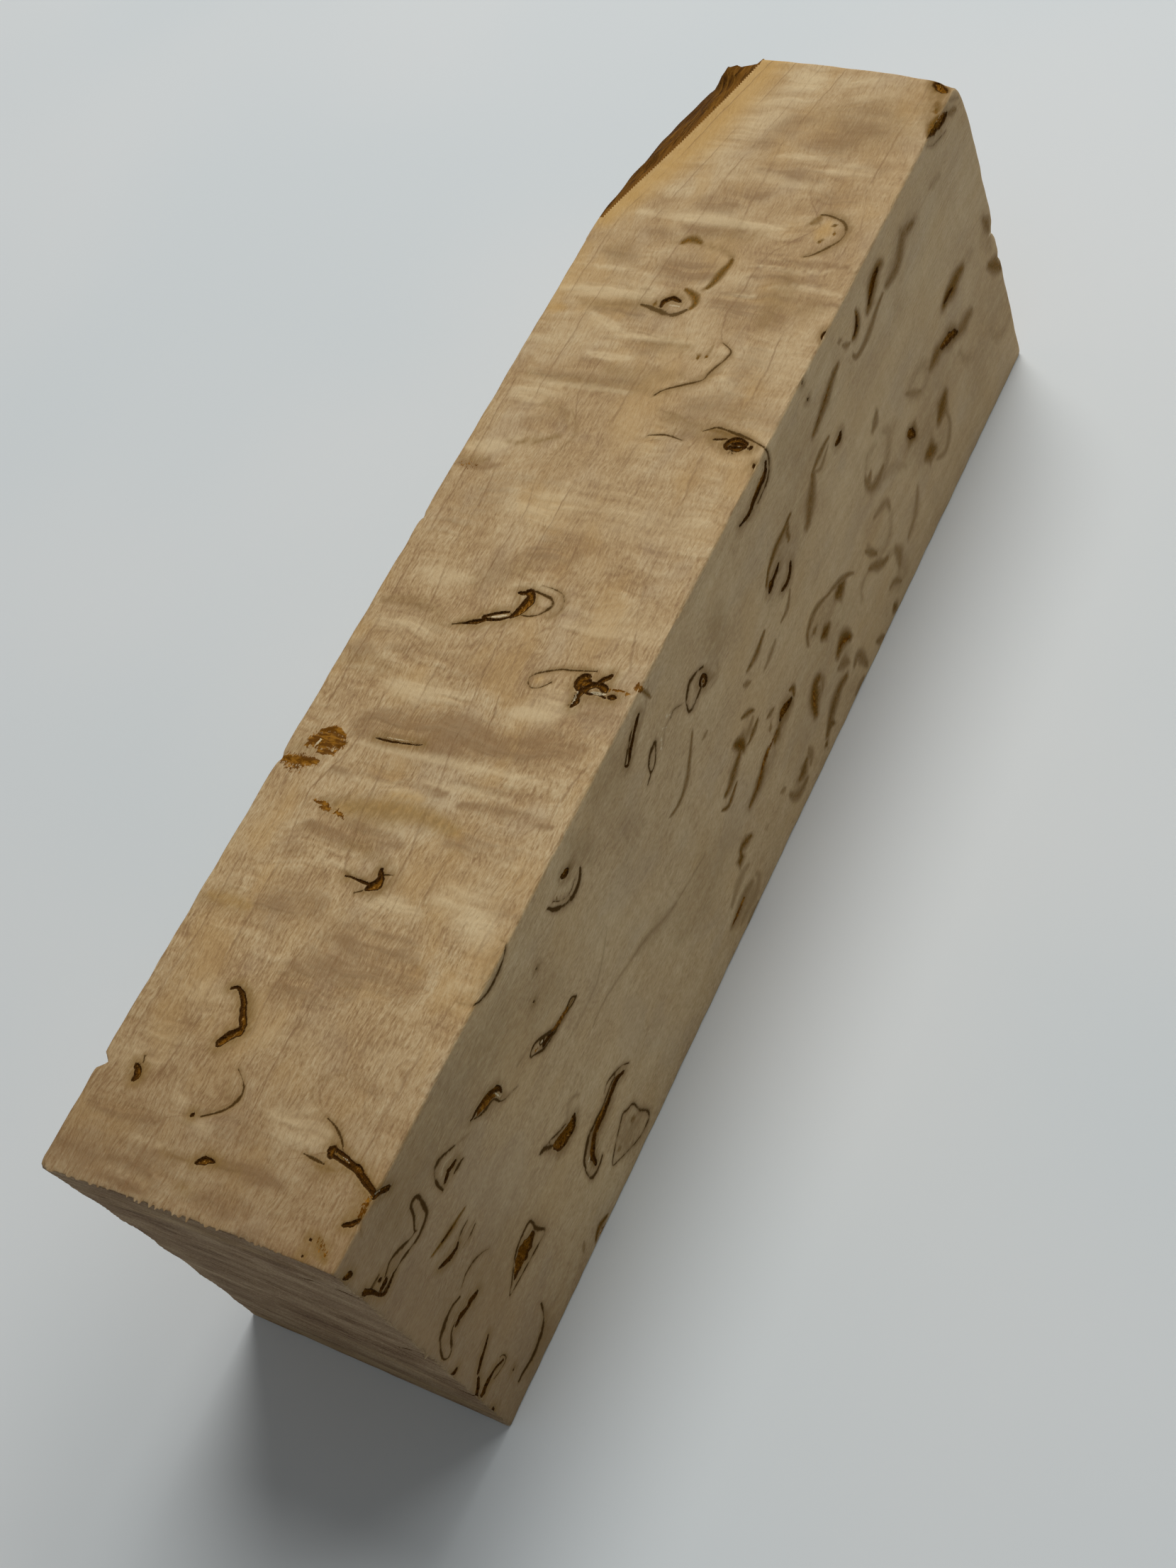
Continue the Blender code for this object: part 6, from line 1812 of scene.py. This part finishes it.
def pockets(n, colour):
    """Crumbs of rust, and bark in the pockets: the colour, where the rust is, and what is inside."""
    rusted = n.ragged(n.attribute("rust"), (n.crumbs - 0.5) * 1.6, (0.22, 0.5), (0.02, 0.2))
    streaks = n.noise(n.bent, (0.32, 0.9, 0.9), shift=80.0, detail=3.0, roughness=0.65)
    rust_colour = n.mix(n.step(0.44, 0.66, streaks), RUST_DARK, RUST_LIGHT)
    colour = n.mix(rusted * 0.95, colour, rust_colour)
    # The rim is softer towards the far end
    soft = n.step(-10.0, 55.0, n.along, 0.05, 0.15)
    inside = n.step(soft, soft * -0.5, n.edge + (n.grain - 0.5) * 0.16)
    # Dark at the rim, crumbled and rusty within
    deep = n.mix(n.step(0.34, 0.5, n.grain), FLECK_BLACK, FLECK_DARK)
    deep = n.mix(n.upper * 0.45, deep, FLECK_BLACK)
    within = n.step(-0.12, -0.3, n.edge) * n.step(0.34, 0.48, n.crumbs)
    deep = n.mix(within * n.either(0.95, 0.2), deep, CRUMB)
    flake = n.step(-0.08, -0.24, n.edge) * n.step(0.58, 0.68, n.crumbs)
    deep = n.mix(flake * n.either(0.85, 0.6), deep, CRUMB_LIGHT)
    deep = n.mix(rusted * n.either(0.55, 0.12), deep, rust_colour)
    return n.mix(inside, colour, deep), rusted, inside


def wood():
    """Long grain of the four sawn sides."""
    n = Wood()
    colour = halos(n, year_rings(n, bands(n, curl(n))))
    colour, core = stains(n, colour)
    colour, lined = outlines(n, colour)
    colour, rusted, inside = pockets(n, colour)
    pale_part = n.step(0.3, 0.75, n.attribute("pale") * n.step(0.3, 0.5, n.cloudy, 0.7, 1.3))
    colour = n.mix(pale_part * 0.85, colour, PALE_WOOD)
    ridges = n.noise(n.warped(n.spot, 6.0, 1.6), (1.9, 0.16, 0.16), shift=33.0, roughness=0.55)
    ridged = ridges * n.step(0.35, 0.6, n.broad, 0.06, 0.15)
    height = n.fibres * n.either(0.04, 0.07) + n.pebbles * 0.04
    height = height + n.mottle * 0.1
    height = height + n.ripples * n.rippled * 0.25
    height = height + ridged * (1.25 - n.upper)
    height = height + inside * n.crumbs * 0.2
    height = height - lined * 0.05
    marked = n.larger(n.larger(inside, rusted), n.larger(core, lined))
    roughness = n.step(0.3, 0.7, n.fibres, 0.56, 0.68) + marked * 0.25
    return n.finish(colour, height, roughness, n.step(0.0, 1.0, marked, 0.28, 0.02))


def end_grain():
    """The two sawn ends: greyer, rough and streaked across."""
    n = Nodes("masur_birch_end")
    place = n.place()
    bent = n.warped(place, 6.0, 0.8)
    streaks = n.noise(bent, (1.0, 4.0, 0.3), detail=4.0, roughness=0.7)
    patches = n.noise(n.warped(place, 5.0, 2.0), (4.0, 6.0, 3.0), shift=19.0)
    pores = n.noise(place, (0.14, 0.2, 0.14), shift=4.0, roughness=0.6)
    rings = n.noise(n.warped(place, 8.0, 3.0), (6.0, 14.0, 2.2), shift=7.0)
    tone = streaks * 0.36 + rings * 0.34 + patches * 0.3
    tone = tone + (pores - 0.5) * 0.4 - n.attribute("shade") * 0.1
    colour = n.ramp(tone, (0.36, END_DARK), (0.49, END_MIDDLE), (0.62, END_LIGHT))
    broken = n.step(0.4, 0.6, streaks, 0.4, 1.0)
    colour = n.mix(n.attribute("haze") * 0.5, colour, HAZE_BROWN)
    # Lighter marks; on the near end these include a painted light band along the foot and a painted
    # highlight down the right edge
    colour = n.mix(n.attribute("glow") * broken * 0.6, colour, CURL_CREAM)
    rough_grain = n.noise(place, (0.2, 0.5, 0.16), shift=40.0, detail=3.0, roughness=0.65) - 0.5
    lined = n.ragged(n.attribute("line"), rough_grain * 0.7, (0.62, 0.9), (0.15, 0.5))
    colour = n.mix(lined * 0.75, colour, LINE_BROWN)
    stained = n.ragged(n.attribute("stain"), rough_grain * 0.8, (0.4, 0.85), (0.1, 0.35))
    colour = n.mix(stained * 0.8, colour, STAIN_BROWN)
    inside = n.step(0.05, -0.04, n.attribute("bark") + rough_grain * 0.16)
    colour = n.mix(inside, colour, FLECK_DARK)
    height = streaks * n.step(0.4, 0.62, patches, 0.12, 0.28) + pores * 0.1
    return n.finish(colour, height, 0.88, 0.12)


def rind():
    """The bark corner: streaked yellowish brown, darker away from the wood."""
    n = Nodes("birch_bark")
    place = n.place()
    bent = n.warped(place, 3.0, 1.0)
    streaks = n.noise(bent, (4.5, 0.5, 0.5), detail=3.0, roughness=0.6)
    flakes = n.noise(bent, (0.9, 0.35, 0.35), shift=6.0, detail=3.0, roughness=0.6)
    tone = streaks * 0.7 + flakes * 0.3
    colour = n.ramp(tone, *RIND_SCALE)
    cracks = n.step(0.42, 0.34, n.noise(bent, (6.0, 0.4, 0.4), shift=15.0, detail=3.0, roughness=0.6))
    colour = n.mix(cracks * 0.4, colour, FLECK_BLACK)
    out = n.attribute("rind")
    colour = n.mix(n.step(2.0, 6.0, out, 0.0, 0.55), colour, RIND_OLD)
    near_wood = out + (flakes - 0.5) * 2.2
    colour = n.mix(n.step(1.2, 0.3, near_wood, 0.0, 0.4), colour, RIND_FRESH)
    height = streaks * 0.22 + flakes * 0.12
    height = height - cracks * 0.15
    return n.finish(colour, height, 0.85, 0.04)


def table_top():
    """Pale matt floor with the faintest mottle."""
    n = Nodes("studio_floor")
    place = n.place()
    cloud = n.noise(place, (60.0, 60.0, 60.0), detail=1.0)
    colour = n.mix(n.step(0.35, 0.65, cloud), FLOOR_BLUE, FLOOR_PALE)
    return n.finish(colour, 0.0, 0.8, 0.1)


# Stage

FLOOR_REACH = 3.0
FLOOR_LEVEL = -2e-5


def floor():
    """A wide flat floor, a hair below the block so that the two don't share a plane."""
    sides = ((-1, -1), (1, -1), (1, 1), (-1, 1))
    mesh = bpy.data.meshes.new("floor")
    corners = [(FLOOR_REACH * x, FLOOR_REACH * y, FLOOR_LEVEL) for x, y in sides]
    mesh.from_pydata(corners, [], [(0, 1, 2, 3)])
    mesh.materials.append(table_top())
    return linked("floor", mesh)


# Lamps: name, azimuth and height above the floor in degrees, disk size in metres, power in watts, colour
LAMP_DISTANCE = 0.9
LAMPS = [
    ("high", 19.0, 63.0, 0.44, 3.9, (1.0, 0.99, 0.97)),
    ("low", 358.0, 16.0, 0.36, 1.4, (1.0, 1.0, 1.0)),
    ("cross", 334.0, 46.0, 0.40, 1.15, (1.0, 0.995, 0.98)),
    ("back", 190.0, 70.0, 0.50, 0.3, (1.0, 1.0, 1.0)),
]
SKY = (0.93, 0.97, 1.0, 1.0)
SKY_STRENGTH = 0.125


def lights():
    """Soft disks high behind the far end, low behind it and across it, and even light from all round."""
    for name, azimuth, height, size, power, colour in LAMPS:
        turn, rise = math.radians(azimuth), math.radians(height)
        way = Vector((math.cos(turn) * math.cos(rise), math.sin(turn) * math.cos(rise), math.sin(rise)))
        light = bpy.data.lights.new(name, "AREA")
        light.shape = "DISK"
        light.size = size
        light.energy = power
        light.color = colour
        lamp = linked(name, light)
        lamp.location = way * LAMP_DISTANCE
        lamp.rotation_euler = way.to_track_quat("Z", "Y").to_euler()
    world = bpy.data.worlds.new("studio")
    world.use_nodes = True
    background = world.node_tree.nodes["Background"]
    background.inputs["Color"].default_value = SKY
    background.inputs["Strength"].default_value = SKY_STRENGTH
    bpy.context.scene.world = world


# Camera, measured from the block's edges
CAMERA_PLACE = Vector((-88.56, -101.24, 184.03)) * MM
CAMERA_LOOK = Vector((0.3796, 0.4760, -0.7933)).normalized()
CAMERA_UP = Vector((0.8198, 0.2243, 0.5269))
CAMERA_LENS = 49.91


def camera():
    """The camera at the photograph's viewing angle."""
    data = bpy.data.cameras.new("camera")
    data.lens = CAMERA_LENS
    data.sensor_width = 36.0
    data.clip_start = 0.01
    view = linked("camera", data)
    right = CAMERA_LOOK.cross(CAMERA_UP).normalized()
    up = right.cross(CAMERA_LOOK)
    turn = Matrix((right, up, -CAMERA_LOOK)).transposed()
    view.matrix_world = Matrix.Translation(CAMERA_PLACE) @ turn.to_4x4()
    bpy.context.scene.camera = view


piece = block()
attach(piece, "root")
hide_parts(NODE)
floor()
lights()
camera()
bpy.context.scene.view_settings.view_transform = "Standard"
